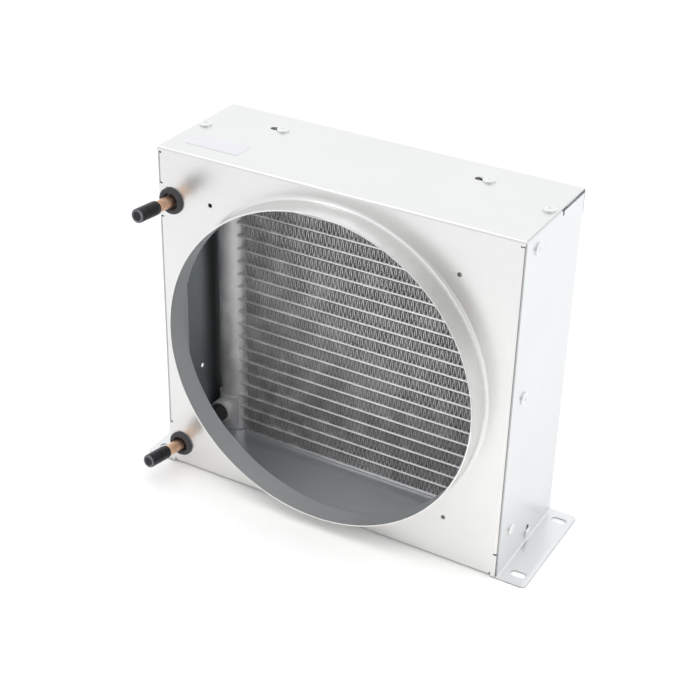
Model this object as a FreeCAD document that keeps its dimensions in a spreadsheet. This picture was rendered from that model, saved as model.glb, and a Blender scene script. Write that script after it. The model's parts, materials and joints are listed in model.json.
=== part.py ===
import FreeCAD, Part
import math
import os
import re
import Sketcher

# Refrigeration condenser: a microchannel coil in a folded sheet casing with a drawn fan collar.
# X runs to the right, Y to the back and Z up, in millimetres. The origin lies at the middle of
# the four foot slots, on the underside of the feet.

SIZES = {
    # Casing
    "casing_depth": 90,
    "sheet": 1,
    "bend_radius": 2,
    "seam": 0.1,
    "relief": 1.2,
    "relief_depth": 2.5,
    # Front panel, collar and lips
    "collar_end_margin": 11,
    "collar_side_margin": 18.5,
    "collar_reach": 18,
    "collar_fillet": 3,
    "fan_hole_margin": 14.72,
    "fan_hole": 3.2,
    "side_return": 25,
    "return_lower_gap": 7.2,
    "return_upper_gap": 4.2,
    "bottom_return": 19.5,
    "bottom_return_gap": 4.4,
    "lip_drop": 17.8,
    # Side panels and floor panel
    "foot_width": 20,
    "foot_corner": 3,
    "foot_slot_length": 11,
    "foot_slot_width": 6,
    "foot_slot_inset": 11,
    "foot_slot_rows": 68,
    "foot_back_gap": 1,
    "panel_setback": 1.2,
    "panel_back_gap": 2.5,
    "top_flange": 14,
    "top_flange_gap": 1.5,
    "top_gap": 1.6,
    "floor_flange": 17,
    "floor_flange_setback": 8,
    "floor_back_notch": 4,
    # Screws
    "screw_head": 8.4,
    "screw_head_height": 1.8,
    "screw_edge": 1,
    "screw_shank": 4,
    "screw_length": 6,
    "coil_screw_length": 3.4,
    "screw_hole": 4.2,
    "side_screw_depth": 17.5,
    "side_screw_drop": 11.6,
    "side_screw_middle_rise": 8,
    "side_screw_right_low": 29.3,
    "side_screw_left_low": 44,
    "floor_screw_depth": 47.9,
    "floor_screw_height": 7.1,
    "floor_slot_rise": 4.4,
    "edge_screw_inset": 6.3,
    "edge_screw_end_gap": 6.5,
    "coil_screws_apart": 150,
    "coil_slot_width": 4.8,
    "coil_slot_run": 7.2,
    # Spare hole in the left side panel
    "spare_hole": 3.5,
    "spare_hole_depth": 42,
    "spare_hole_height": 59,
    # Coil
    "coil_setback": 66,
    "coil_gap": 0.3,
    "coil_top_gap": 0.7,
    "tube_count": 23,
    "tube_pitch": 10,
    "tube_thickness": 2,
    "tube_depth": 16,
    "tube_nose": 0.6,
    "tube_insertion": 6.5,
    "braze_gap": 0.05,
    "fin_folds": 12,
    "fin_sheet": 0.4,
    "fin_end_gap": 3,
    "plate_thickness": 2,
    "header_radius": 11,
    "header_wall": 1.5,
    "header_gap": 2.3,
    "header_cap": 1.5,
    "header_cap_plug": 3,
    "first_pass_tubes": 14,
    "baffle": 1.5,
    # Pipes and what sits on them
    "pipe_radius": 4,
    "pipe_wall": 0.8,
    "pipe_offset": 3.9,
    "upper_pipe_drop": 36.3,
    "lower_pipe_height": 18.2,
    "upper_pipe_tilt": 4.7,
    "upper_pipe_lean": 20,
    "lower_pipe_tilt": 7.6,
    "lower_pipe_lean": 34,
    "pipe_bend": 24,
    "pipe_bend_start": 2,
    "pipe_socket": 5.5,
    "boss_radius": 8.25,
    "boss_reach": 16.5,
    "boss_edge": 0.8,
    "port_bore": 6,
    "saddle_sheet": 1.5,
    "saddle_height": 24,
    "saddle_reach": 6.7,
    "saddle_wrap": 8.5,
    "neck_radius": 5.8,
    "neck_length": 12,
    "sleeve_wall": 0.9,
    "sleeve_length": 26,
    "sleeve_cone": 4.5,
    "grommet_radius": 9.25,
    "grommet_bore": 5.6,
    "grommet_flange": 2.7,
    "grommet_edge": 1.2,
    "pipe_hole": 14.5,
    "copper_shown": 16.6,
    "cap_length": 19.5,
    "cap_wall": 0.85,
    "cap_clearance": 0.05,
    "cap_end": 1.6,
    "cap_edge": 1.1,
    "cap_dish": 0.5,
}

# Places worked out from the sizes, as expressions on the sheet's names. The coil sets the
# casing's height, the height sets the fan collar, and the collar sets the casing's width.
STACK_HEIGHT = "((tube_count + 1) * tube_pitch - tube_thickness + 2 * plate_thickness)"
HEIGHT = f"(2 * sheet + coil_gap + coil_top_gap + {STACK_HEIGHT})"
BORE = f"({HEIGHT} - 2 * collar_end_margin)"
SIDE = f"({BORE} / 2 + collar_side_margin)"
FRONT = "(-casing_depth / 2)"
BACK = "(casing_depth / 2)"
SIDE_INNER = f"({SIDE} - sheet)"
SHROUD_SIDE = f"({SIDE} - sheet - seam)"
RETURN_SIDE = f"({SIDE} - sheet - seam - bottom_return_gap)"
BEYOND = f"({SIDE} + 2 * foot_width)"
FOLD_INNER = "(bend_radius - sheet)"
SHROUD_LOW = "(sheet + seam)"
RETURN_TOP = f"({HEIGHT} - bend_radius - 2 * relief)"
COLLAR_Z = f"({HEIGHT} / 2 + sheet)"
FAN_HOLE = f"(({BORE} / 2 + fan_hole_margin) / sqrt(2))"
FLANGE_TOP = f"({HEIGHT} - sheet - seam)"
FLANGE_END = f"({FRONT} + coil_setback - header_radius - top_flange_gap)"
EDGE_SCREW_X = f"({SIDE} - edge_screw_inset)"
EDGE_SCREW_Y = f"({FLANGE_END} - edge_screw_end_gap)"
COIL_Y = f"({FRONT} + coil_setback)"
STACK_LOW = "(sheet + coil_gap)"
FIN_HEIGHT = "(tube_pitch - tube_thickness)"
TUBE_LOW = f"({STACK_LOW} + plate_thickness + tube_pitch - tube_thickness / 2)"
HEADER_X = f"({SIDE} - sheet - header_gap - header_radius)"
FIN_HALF = f"({HEADER_X} - header_radius - fin_end_gap)"
PIPE_X = f"(-{HEADER_X} - pipe_offset)"
BOSS_Y = f"({COIL_Y} - boss_reach)"
UPPER_PIPE = f"({HEIGHT} - upper_pipe_drop)"
PIPE_HEIGHTS = {"upper": UPPER_PIPE, "lower": "lower_pipe_height"}
SIDES = {"left": "-1", "right": "1"}

# The copper bends just behind the front panel and leaves the casing at a slant. Each pipe's bend
# lies in an upright plane that leans over to the left at the top.
BEND_Y = "(pipe_bend_start - casing_depth / 2)"
MOUTH_Y = "(-casing_depth / 2 - copper_shown)"
PIPE_LEFT = {which: f"sin({which}_pipe_lean)" for which in PIPE_HEIGHTS}
PIPE_UP = {which: f"cos({which}_pipe_lean)" for which in PIPE_HEIGHTS}


def stub_start(which):
    """Where the slanted stub starts in the plane of its bend: forwards, and above the bore."""
    return (f"({BEND_Y} - pipe_bend * sin({which}_pipe_tilt))",
            f"(pipe_bend * (1 - cos({which}_pipe_tilt)))")


def stub_run(which):
    """Length of the stub from its start to the cap's mouth."""
    return f"(({stub_start(which)[0]} - {MOUTH_Y}) / cos({which}_pipe_tilt))"

doc = FreeCAD.newDocument("condenser")
sizes = doc.addObject("Spreadsheet::Sheet", "Sizes")
for row, (alias, number) in enumerate(SIZES.items(), start=1):
    sizes.set(f"A{row}", alias)
    sizes.set(f"B{row}", str(number))
    sizes.setAlias(f"B{row}", alias)
doc.recompute()


def bound(text):
    """The expression with each size name pointing at its cell of the sheet."""
    return re.sub(r"[a-z_]+", lambda word: "Sizes." * (word[0] in SIZES) + word[0], text)


def value(text):
    """The expression's present value as a number."""
    return float(sizes.evalExpression(bound(text)))


def new_body(label):
    body = doc.addObject("PartDesign::Body", label)
    body.Label = label
    return body


def new_sketch(body, view, across="0", along="0", away="0"):
    """A sketch on an origin plane, shifted in its plane and away from it by sizes."""
    role = {"front": "XZ_Plane", "side": "YZ_Plane", "top": "XY_Plane"}[view]
    sketch = body.newObject("Sketcher::SketchObject", "Sketch")
    plane = next(item for item in body.Origin.OriginFeatures if item.Role == role)
    sketch.AttachmentSupport = [(plane, "")]
    sketch.MapMode = "FlatFace"
    for axis, size in zip("xyz", (across, along, away)):
        sketch.setExpression(f"AttachmentOffset.Base.{axis}", bound(size))
    return sketch


def dimension(sketch, kind, size, *geometry):
    """A sketch dimension tied to the sheet."""
    number = sketch.addConstraint(Sketcher.Constraint(kind, *geometry, value(size)))
    sketch.setExpression(f"Constraints[{number}]", bound(size))


def pin(sketch, line, end, x, y):
    """Hold a point of the sketch at two sizes from the sketch's origin."""
    dimension(sketch, "DistanceX", x, -1, 1, line, end)
    dimension(sketch, "DistanceY", y, -1, 1, line, end)


def outline(sketch, corners):
    """A closed outline through corners given as pairs of expressions."""
    points = [FreeCAD.Vector(value(x), value(y), 0) for x, y in corners]
    lines = [sketch.addGeometry(Part.LineSegment(start, end))
             for start, end in zip(points, points[1:] + points[:1])]
    for line, before, (x, y) in zip(lines, lines[-1:] + lines[:-1], corners):
        sketch.addConstraint(Sketcher.Constraint("Coincident", before, 2, line, 1))
        pin(sketch, line, 1, x, y)


def rectangle(sketch, x_low, x_high, y_low, y_high):
    outline(sketch, [(x_low, y_low), (x_high, y_low), (x_high, y_high), (x_low, y_high)])


def circle(sketch, x, y, radius):
    centre = FreeCAD.Vector(value(x), value(y), 0)
    ring = sketch.addGeometry(Part.Circle(centre, FreeCAD.Vector(0, 0, 1), value(radius)))
    pin(sketch, ring, 3, x, y)
    dimension(sketch, "Radius", radius, ring)


def slot(sketch, x, y, half_run, radius, upright=False):
    """A slot with round ends, centred on x and y, along the sketch's X, or its Y if upright."""
    across = FreeCAD.Vector(0, 1, 0) if upright else FreeCAD.Vector(1, 0, 0)
    beside = FreeCAD.Vector(-across.y, across.x, 0)
    centre = FreeCAD.Vector(value(x), value(y), 0)
    ends = [centre - across * value(half_run), centre + across * value(half_run)]
    start = math.pi if upright else math.pi / 2
    arcs = []
    for index, end in enumerate(ends):
        ring = Part.Circle(end, FreeCAD.Vector(0, 0, 1), value(radius))
        low = start + math.pi * index
        arcs.append(sketch.addGeometry(Part.ArcOfCircle(ring, low, low + math.pi)))
    reach = beside * value(radius)
    lines = [sketch.addGeometry(Part.LineSegment(ends[0] - reach, ends[1] - reach)),
             sketch.addGeometry(Part.LineSegment(ends[1] + reach, ends[0] + reach))]
    for first, second in zip((arcs[0], lines[0], arcs[1], lines[1]),
                             (lines[0], arcs[1], lines[1], arcs[0])):
        sketch.addConstraint(Sketcher.Constraint("Tangent", first, 2, second, 1))
    for arc, sign in zip(arcs, "-+"):
        shift = f"{sign} {half_run}"
        pin(sketch, arc, 3, x if upright else x + shift, y + shift if upright else y)
    dimension(sketch, "Radius", radius, arcs[0])


def extrude(body, sketch, kind, length, both_ways, back):
    feature = body.newObject(f"PartDesign::{kind}", kind)
    feature.Profile = sketch
    feature.setExpression("Length", bound(length))
    feature.SideType = "Symmetric" if both_ways else "One side"
    feature.Reversed = back
    sketch.Visibility = False
    doc.recompute()
    return feature


def pad(body, sketch, length, both_ways=False, back=False):
    return extrude(body, sketch, "Pad", length, both_ways, back)


def cut(body, sketch, length):
    """Cut the outline out of the body, half the length to each side of the sketch."""
    before = body.Shape.Volume
    feature = extrude(body, sketch, "Pocket", length, True, False)
    if body.Shape.Volume >= before:
        raise ValueError(f"{body.Label}: {feature.Name} cuts nothing")
    return feature


def turned(body, view, place, axis, corners):
    """Turn a closed profile about an axis of its sketch."""
    sketch = new_sketch(body, view, *place)
    outline(sketch, corners)
    feature = body.newObject("PartDesign::Revolution", "Revolution")
    feature.Profile = sketch
    feature.ReferenceAxis = (sketch, [axis])
    feature.Angle = 360
    doc.recompute()
    return feature


def dress(body, kind, size, spots):
    """Fillet or chamfer the edges that pass through the given spots."""
    edges = body.Shape.Edges
    names = []
    for spot in spots:
        vertex = Part.Vertex(*(value(size) for size in spot))
        gaps = [edge.distToShape(vertex)[0] for edge in edges]
        names.append(f"Edge{gaps.index(min(gaps)) + 1}")
    feature = body.newObject(f"PartDesign::{kind}", kind)
    feature.Base = (feature.BaseFeature, names)
    feature.setExpression("Radius" if kind == "Fillet" else "Size", bound(size))
    doc.recompute()


def round_edges(body, radius, spots):
    dress(body, "Fillet", radius, spots)


def chamfer_edges(body, size, spots):
    dress(body, "Chamfer", size, spots)


def fold(body, outer, inner):
    """Round a fold's outer and inner edges."""
    round_edges(body, "bend_radius", outer)
    round_edges(body, FOLD_INNER, inner)


def repeat(body, feature, role, spacing, count):
    """Copies of a feature in a straight row, which becomes the body's end result."""
    row = body.newObject("PartDesign::LinearPattern", "Row")
    row.Originals = [feature]
    axis = next(item for item in body.Origin.OriginFeatures if item.Role == role)
    row.Direction = (axis, [""])
    row.setExpression("Length", bound(f"{spacing} * ({count} - 1)"))
    row.setExpression("Occurrences", bound(count))
    body.Tip = row
    doc.recompute()
    return row


def fan_shroud():
    """Front panel with collar, top panel, back lip, bottom return and side returns, one sheet."""
    body = new_body("fan_shroud")
    strip = new_sketch(body, "side")
    outline(strip, [
        (f"{FRONT} + bottom_return", SHROUD_LOW), (FRONT, SHROUD_LOW),
        (FRONT, HEIGHT), (BACK, HEIGHT),
        (BACK, f"{HEIGHT} - lip_drop"), (f"{BACK} - sheet", f"{HEIGHT} - lip_drop"),
        (f"{BACK} - sheet", f"{HEIGHT} - sheet"), (f"{FRONT} + sheet", f"{HEIGHT} - sheet"),
        (f"{FRONT} + sheet", f"{SHROUD_LOW} + sheet"),
        (f"{FRONT} + bottom_return", f"{SHROUD_LOW} + sheet"),
    ])
    pad(body, strip, f"2 * {SIDE} - sheet", both_ways=True)
    fold(body, [("0", FRONT, HEIGHT), ("0", BACK, HEIGHT)],
         [("0", f"{FRONT} + sheet", f"{HEIGHT} - sheet"),
          ("0", f"{BACK} - sheet", f"{HEIGHT} - sheet")])
    trim_front_panel(body)
    fold(body, [("0", FRONT, SHROUD_LOW)], [("0", f"{FRONT} + sheet", f"{SHROUD_LOW} + sheet")])
    returns = [("1", "floor_flange + 2 * relief", RETURN_TOP),
               ("-1", f"{UPPER_PIPE} + grommet_radius + 2 * relief", RETURN_TOP),
               ("-1", "lower_pipe_height + grommet_radius + return_lower_gap",
                f"{UPPER_PIPE} - grommet_radius - return_upper_gap")]
    for sign, low, high in returns:
        side_return(body, sign, low, high)
    draw_collar(body)
    front_panel_holes(body)
    top_panel_holes(body)
    for side, sign in SIDES.items():
        holes = new_sketch(body, "side", away=f"{sign} * ({SHROUD_SIDE} - sheet / 2)")
        for height in side_screw_heights(side):
            circle(holes, f"{FRONT} + side_screw_depth", height, "screw_hole / 2")
        cut(body, holes, "2 * sheet")
    return body


def trim_front_panel(body):
    """Narrow the front panel to fit between the side panels and free the bottom return's ends."""
    flanks = new_sketch(body, "front", away="casing_depth / 2")
    notches = new_sketch(body, "front", away="casing_depth / 2")
    ends = new_sketch(body, "top", away=f"{SHROUD_LOW} + sheet / 2")
    for sign in SIDES.values():
        rectangle(flanks, f"{sign} * {SHROUD_SIDE}", f"{sign} * {BEYOND}",
                  "0", f"{HEIGHT} - bend_radius - relief")
        rectangle(notches, f"{sign} * {RETURN_SIDE}", f"{sign} * ({RETURN_SIDE} + relief)",
                  "0", f"{SHROUD_LOW} + relief_depth")
        rectangle(ends, f"{sign} * {RETURN_SIDE}", f"{sign} * {BEYOND}",
                  f"{FRONT} + sheet", f"{FRONT} + bottom_return + sheet")
    cut(body, flanks, "2 * bottom_return + 2 * sheet")
    cut(body, notches, "2 * relief_depth")
    cut(body, ends, "2 * sheet")


def side_return(body, sign, low, high):
    """A return folded back inside a side panel, with a relief notch at each end of its fold."""
    notches = new_sketch(body, "front", away="casing_depth / 2")
    for end in (f"{low} - relief", high):
        rectangle(notches, f"{sign} * ({SHROUD_SIDE} - relief_depth)", f"{sign} * {BEYOND}",
                  end, f"{end} + relief")
    cut(body, notches, "2 * bend_radius")
    flange = new_sketch(body, "front", away="casing_depth / 2")
    rectangle(flange, f"{sign} * ({SHROUD_SIDE} - sheet)", f"{sign} * {SHROUD_SIDE}", low, high)
    pad(body, flange, "side_return", back=True)
    middle = f"({low} + {high}) / 2"
    fold(body, [(f"{sign} * {SHROUD_SIDE}", FRONT, middle)],
         [(f"{sign} * ({SHROUD_SIDE} - sheet)", f"{FRONT} + sheet", middle)])


def draw_collar(body):
    """The fan collar is drawn out of the front panel, so its root is round on both sides."""
    inner, outer = f"{BORE} / 2", f"{BORE} / 2 + sheet"
    lip = f"{FRONT} - collar_reach"
    turned(body, "side", ("0", COLLAR_Z), "H_Axis",
           [(lip, inner), (lip, outer), (f"{FRONT} + sheet / 2", outer),
            (f"{FRONT} + sheet / 2", inner)])
    bore = new_sketch(body, "front", away="casing_depth / 2")
    circle(bore, "0", COLLAR_Z, inner)
    cut(body, bore, "4 * sheet")
    round_edges(body, "collar_fillet", [("0", FRONT, f"{COLLAR_Z} + {outer}")])
    round_edges(body, "collar_fillet + sheet", [("0", f"{FRONT} + sheet", f"{COLLAR_Z} + {inner}")])


def front_panel_holes(body):
    """Four fan screw holes on a square about the collar, and the two grommet holes."""
    holes = new_sketch(body, "front", away="(casing_depth - sheet) / 2")
    for across in "-+":
        for up in "-+":
            circle(holes, f"{across} {FAN_HOLE}", f"{COLLAR_Z} {up} {FAN_HOLE}", "fan_hole / 2")
    for height in PIPE_HEIGHTS.values():
        circle(holes, PIPE_X, height, "pipe_hole / 2")
    cut(body, holes, "2 * sheet")


def top_panel_holes(body):
    """Edge screw holes, and slots towards the left for the coil's screws."""
    holes = new_sketch(body, "top", away=f"{HEIGHT} - sheet / 2")
    for sign in SIDES.values():
        circle(holes, f"{sign} * {EDGE_SCREW_X}", EDGE_SCREW_Y, "screw_hole / 2")
        slot(holes, f"{sign} * coil_screws_apart / 2 - coil_slot_run / 2", COIL_Y,
             "coil_slot_run / 2", "coil_slot_width / 2")
    cut(body, holes, "2 * sheet")


def side_screw_heights(side):
    return [f"{HEIGHT} - side_screw_drop", f"{HEIGHT} / 2 + side_screw_middle_rise",
            f"side_screw_{side}_low"]


def side_panel(side, sign):
    """Wall with an outward foot and an inward top flange that ends before the coil."""
    body = new_body(f"{side}_side_panel")
    wall = new_sketch(body, "front")
    outer, inner = f"{sign} * {SIDE}", f"{sign} * {SIDE_INNER}"
    toe, hem = f"{sign} * ({SIDE} + foot_width)", f"{sign} * ({SIDE} - top_flange)"
    outline(wall, [(inner, "0"), (toe, "0"), (toe, "sheet"), (outer, "sheet"),
                   (outer, FLANGE_TOP), (hem, FLANGE_TOP),
                   (hem, f"{FLANGE_TOP} - sheet"), (inner, f"{FLANGE_TOP} - sheet")])
    pad(body, wall, "casing_depth", both_ways=True)
    fold(body, [(inner, "0", "0"), (outer, "0", FLANGE_TOP)],
         [(outer, "0", "sheet"), (inner, "0", f"{FLANGE_TOP} - sheet")])
    trim_side_panel(body)
    round_edges(body, "foot_corner",
                [(toe, FRONT, "sheet / 2"), (toe, f"{BACK} - foot_back_gap", "sheet / 2")])
    side_panel_holes(body, side, sign)
    return body


def trim_side_panel(body):
    """Set the wall back from the front panel and the rear lip, and end the top flange."""
    above, behind = f"{HEIGHT} + sheet", f"{BACK} + sheet"
    wall_top, wall_back = f"{HEIGHT} - sheet - top_gap", f"{BACK} - panel_back_gap"
    edges = new_sketch(body, "side")
    rectangle(edges, f"{FRONT} - sheet", f"{FRONT} + panel_setback", "bend_radius", above)
    outline(edges, [
        (FLANGE_END, above), (FLANGE_END, f"{wall_top} - relief_depth"),
        (f"{FLANGE_END} + 2 * relief", f"{wall_top} - relief_depth"),
        (f"{FLANGE_END} + 2 * relief", wall_top), (wall_back, wall_top),
        (wall_back, "bend_radius"), (f"{BACK} - foot_back_gap", "bend_radius"),
        (f"{BACK} - foot_back_gap", "-sheet"), (behind, "-sheet"), (behind, above)])
    cut(body, edges, f"2 * {BEYOND}")


def side_panel_holes(body, side, sign):
    """Foot slots, screw holes, the floor screw's upright slot and the left wall's spare hole."""
    foot = new_sketch(body, "top", away="sheet / 2")
    for row_side in "-+":
        slot(foot, f"{sign} * ({SIDE} + foot_slot_inset)", f"{row_side} foot_slot_rows / 2",
             "(foot_slot_length - foot_slot_width) / 2", "foot_slot_width / 2")
    cut(body, foot, "2 * sheet")
    wall = new_sketch(body, "side", away=f"{sign} * ({SIDE} - sheet / 2)")
    for height in side_screw_heights(side):
        circle(wall, f"{FRONT} + side_screw_depth", height, "screw_hole / 2")
    slot(wall, f"{FRONT} + floor_screw_depth", "floor_screw_height + floor_slot_rise / 2",
         "floor_slot_rise / 2", "screw_hole / 2", upright=True)
    if side == "left":
        circle(wall, f"{FRONT} + spare_hole_depth", "spare_hole_height", "spare_hole / 2")
    cut(body, wall, "2 * sheet")
    flange = new_sketch(body, "top", away=f"{FLANGE_TOP} - sheet / 2")
    circle(flange, f"{sign} * {EDGE_SCREW_X}", EDGE_SCREW_Y, "screw_hole / 2")
    cut(body, flange, "2 * sheet")


def floor_panel():
    """Floor with a rear lip and two side flanges, its back corners notched out."""
    body = new_body("floor_panel")
    strip = new_sketch(body, "side")
    outline(strip, [(f"{FRONT} + bend_radius", "0"), (BACK, "0"), (BACK, "lip_drop"),
                    (f"{BACK} - sheet", "lip_drop"), (f"{BACK} - sheet", "sheet"),
                    (f"{FRONT} + bend_radius", "sheet")])
    pad(body, strip, f"2 * {SHROUD_SIDE}", both_ways=True)
    notch_y, flange_y = f"{BACK} - floor_back_notch", f"{FRONT} + floor_flange_setback"
    corners = new_sketch(body, "top", away="lip_drop / 2")
    flanges = new_sketch(body, "front", away="casing_depth / 2 - floor_flange_setback")
    for sign in SIDES.values():
        rectangle(corners, f"{sign} * {RETURN_SIDE}", f"{sign} * {BEYOND}",
                  notch_y, f"{BACK} + sheet")
        rectangle(corners, f"{sign} * ({SHROUD_SIDE} - relief_depth)", f"{sign} * {BEYOND}",
                  f"{flange_y} - relief", flange_y)
        rectangle(flanges, f"{sign} * ({SHROUD_SIDE} - sheet)", f"{sign} * {SHROUD_SIDE}",
                  "0", "floor_flange")
    cut(body, corners, "2 * lip_drop")
    pad(body, flanges, "casing_depth - floor_flange_setback - floor_back_notch", back=True)
    fold(body, [("0", BACK, "0")], [("0", f"{BACK} - sheet", "sheet")])
    fold(body, [(f"{sign} * {SHROUD_SIDE}", "0", "0") for sign in SIDES.values()],
         [(f"{sign} * ({SHROUD_SIDE} - sheet)", "0", "sheet") for sign in SIDES.values()])
    holes = new_sketch(body, "side")
    circle(holes, f"{FRONT} + floor_screw_depth", "floor_screw_height", "screw_hole / 2")
    cut(body, holes, f"2 * {BEYOND}")
    return body


def flat_tubes():
    """Flat multiport tubes with blunt noses, brazed into both headers."""
    body = new_body("flat_tubes")
    section = new_sketch(body, "side", COIL_Y, TUBE_LOW)
    nose, flat = "(tube_depth / 2)", "(tube_depth / 2 - tube_nose)"
    face, tip = "(tube_thickness / 2)", "(tube_thickness / 2 - tube_nose)"
    outline(section, [
        (f"-{flat}", f"-{face}"), (flat, f"-{face}"), (nose, f"-{tip}"), (nose, tip),
        (flat, face), (f"-{flat}", face), (f"-{nose}", tip), (f"-{nose}", f"-{tip}")])
    first = pad(body, section, f"2 * ({HEADER_X} - header_radius + tube_insertion)", both_ways=True)
    repeat(body, first, "Z_Axis", "tube_pitch", "tube_count")
    return body


def fin_rows():
    """Folded fin strips that fill the spaces between tubes and side plates."""
    body = new_body("fin_rows")
    fold_run = f"(2 * {FIN_HALF} / fin_folds)"
    height = f"({FIN_HEIGHT} - 2 * braze_gap)"
    low = f"({STACK_LOW} + plate_thickness + braze_gap)"
    thick = f"(fin_sheet * sqrt(1 + pow(2 * {height} / {fold_run}; 2)))"
    section = new_sketch(body, "front", f"-{FIN_HALF}", low, f"-{COIL_Y}")
    outline(section, [("0", "0"), (f"{fold_run} / 2", f"{height} - {thick}"), (fold_run, "0"),
                      (fold_run, thick), (f"{fold_run} / 2", height), ("0", thick)])
    wave = pad(body, section, "tube_depth", both_ways=True)
    row = repeat(body, wave, "X_Axis", fold_run, "fin_folds")
    upright = next(item for item in body.Origin.OriginFeatures if item.Role == "Z_Axis")
    row.Direction2 = (upright, [""])
    row.setExpression("Length2", bound("tube_pitch * tube_count"))
    row.setExpression("Occurrences2", bound("tube_count + 1"))
    doc.recompute()
    return body


def header(side, sign):
    """Round manifold with one slot for each flat tube."""
    body = new_body(f"{side}_header")
    centre = f"{sign} * {HEADER_X}"
    ring = new_sketch(body, "top", away=f"{STACK_LOW} + header_cap")
    circle(ring, centre, COIL_Y, "header_radius")
    circle(ring, centre, COIL_Y, "header_radius - header_wall")
    pad(body, ring, f"{STACK_HEIGHT} - 2 * header_cap")
    opening = new_sketch(body, "side", away=f"{sign} * ({HEADER_X} - header_radius)")
    half_depth, half_high = "(tube_depth / 2 + braze_gap)", "(tube_thickness / 2 + braze_gap)"
    rectangle(opening, f"{COIL_Y} - {half_depth}", f"{COIL_Y} + {half_depth}",
              f"{TUBE_LOW} - {half_high}", f"{TUBE_LOW} + {half_high}")
    first = cut(body, opening, "2 * tube_insertion")
    repeat(body, first, "Z_Axis", "tube_pitch", "tube_count")
    if side == "left":
        ports = new_sketch(body, "front", away=f"header_radius - {COIL_Y}")
        for height in PIPE_HEIGHTS.values():
            circle(ports, PIPE_X, height, "port_bore / 2")
        cut(body, ports, "2 * header_radius - header_wall")
    return body


def header_caps(side, sign):
    """End caps that close a header, each with a short plug inside the tube."""
    body = new_body(f"{side}_header_caps")
    low, high = STACK_LOW, f"({STACK_LOW} + {STACK_HEIGHT})"
    spans = [(low, "header_radius", "header_cap", False),
             (f"{low} + header_cap", "header_radius - header_wall - braze_gap",
              "header_cap_plug", False),
             (high, "header_radius", "header_cap", True),
             (f"{high} - header_cap", "header_radius - header_wall - braze_gap",
              "header_cap_plug", True)]
    for start, radius, length, downwards in spans:
        disc = new_sketch(body, "top", away=start)
        circle(disc, f"{sign} * {HEADER_X}", COIL_Y, radius)
        pad(body, disc, length, back=downwards)
    return body


def header_baffle():
    """Disc in the left header that splits the coil into a down and a return pass."""
    body = new_body("header_baffle")
    height = f"{TUBE_LOW} + (tube_count - first_pass_tubes - 0.5) * tube_pitch"
    disc = new_sketch(body, "top", away=height)
    circle(disc, f"-{HEADER_X}", COIL_Y, "header_radius - header_wall - braze_gap")
    pad(body, disc, "baffle", both_ways=True)
    return body


def side_plate(label, low):
    """Plate that closes the fin stack, its ends hollowed to the headers' round."""
    body = new_body(label)
    plate = new_sketch(body, "top", away=low)
    rectangle(plate, f"-{HEADER_X}", HEADER_X,
              f"{COIL_Y} - tube_depth / 2", f"{COIL_Y} + tube_depth / 2")
    pad(body, plate, "plate_thickness")
    ends = new_sketch(body, "top", away=f"{low} + plate_thickness / 2")
    for sign in SIDES.values():
        circle(ends, f"{sign} * {HEADER_X}", COIL_Y, "header_radius + braze_gap")
    cut(body, ends, "2 * plate_thickness")
    return body


def top_side_plate():
    low = f"({STACK_LOW} + {STACK_HEIGHT} - plate_thickness)"
    body = side_plate("top_side_plate", low)
    holes = new_sketch(body, "top", away=f"{low} + plate_thickness / 2")
    for sign in SIDES.values():
        circle(holes, f"{sign} * coil_screws_apart / 2", COIL_Y, "screw_hole / 2")
    cut(body, holes, "2 * plate_thickness")
    return body


def boss(which, height):
    """Saddle on the left header with a boss and a neck that takes the copper pipe."""
    body = new_body(f"{which}_boss")
    saddle = new_sketch(body, "top", away=height)
    circle(saddle, f"-{HEADER_X}", COIL_Y, "header_radius + braze_gap + saddle_sheet")
    pad(body, saddle, "saddle_height", both_ways=True)
    spare = new_sketch(body, "top", away=height)
    rim, wrap = f"saddle_reach - {HEADER_X}", f"{COIL_Y} - saddle_wrap / 2"
    outline(spare, [(f"-{BEYOND}", wrap), (rim, wrap), (rim, FRONT), (BEYOND, FRONT),
                    (BEYOND, "casing_depth"), (f"-{BEYOND}", "casing_depth")])
    cut(body, spare, "2 * saddle_height")
    for radius, front, length in (
            ("boss_radius", BOSS_Y, f"{COIL_Y} - saddle_wrap - {BOSS_Y}"),
            ("neck_radius", f"({BOSS_Y} - neck_length)", "neck_length + sheet")):
        round_part = new_sketch(body, "front", away=f"-{front}")
        circle(round_part, PIPE_X, height, radius)
        pad(body, round_part, length, back=True)
    chamfer_edges(body, "boss_edge", [(PIPE_X, BOSS_Y, f"{height} + boss_radius")])
    bed = new_sketch(body, "top", away=height)
    circle(bed, f"-{HEADER_X}", COIL_Y, "header_radius + braze_gap")
    cut(body, bed, "2 * saddle_height")
    port = new_sketch(body, "front", away=f"-{BOSS_Y}")
    circle(port, PIPE_X, height, "port_bore / 2")
    cut(body, port, "casing_depth")
    socket = new_sketch(body, "front", away=f"neck_length - {BOSS_Y}")
    circle(socket, PIPE_X, height, "pipe_radius + braze_gap")
    cut(body, socket, "2 * (neck_length + pipe_socket)")
    return body


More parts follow.
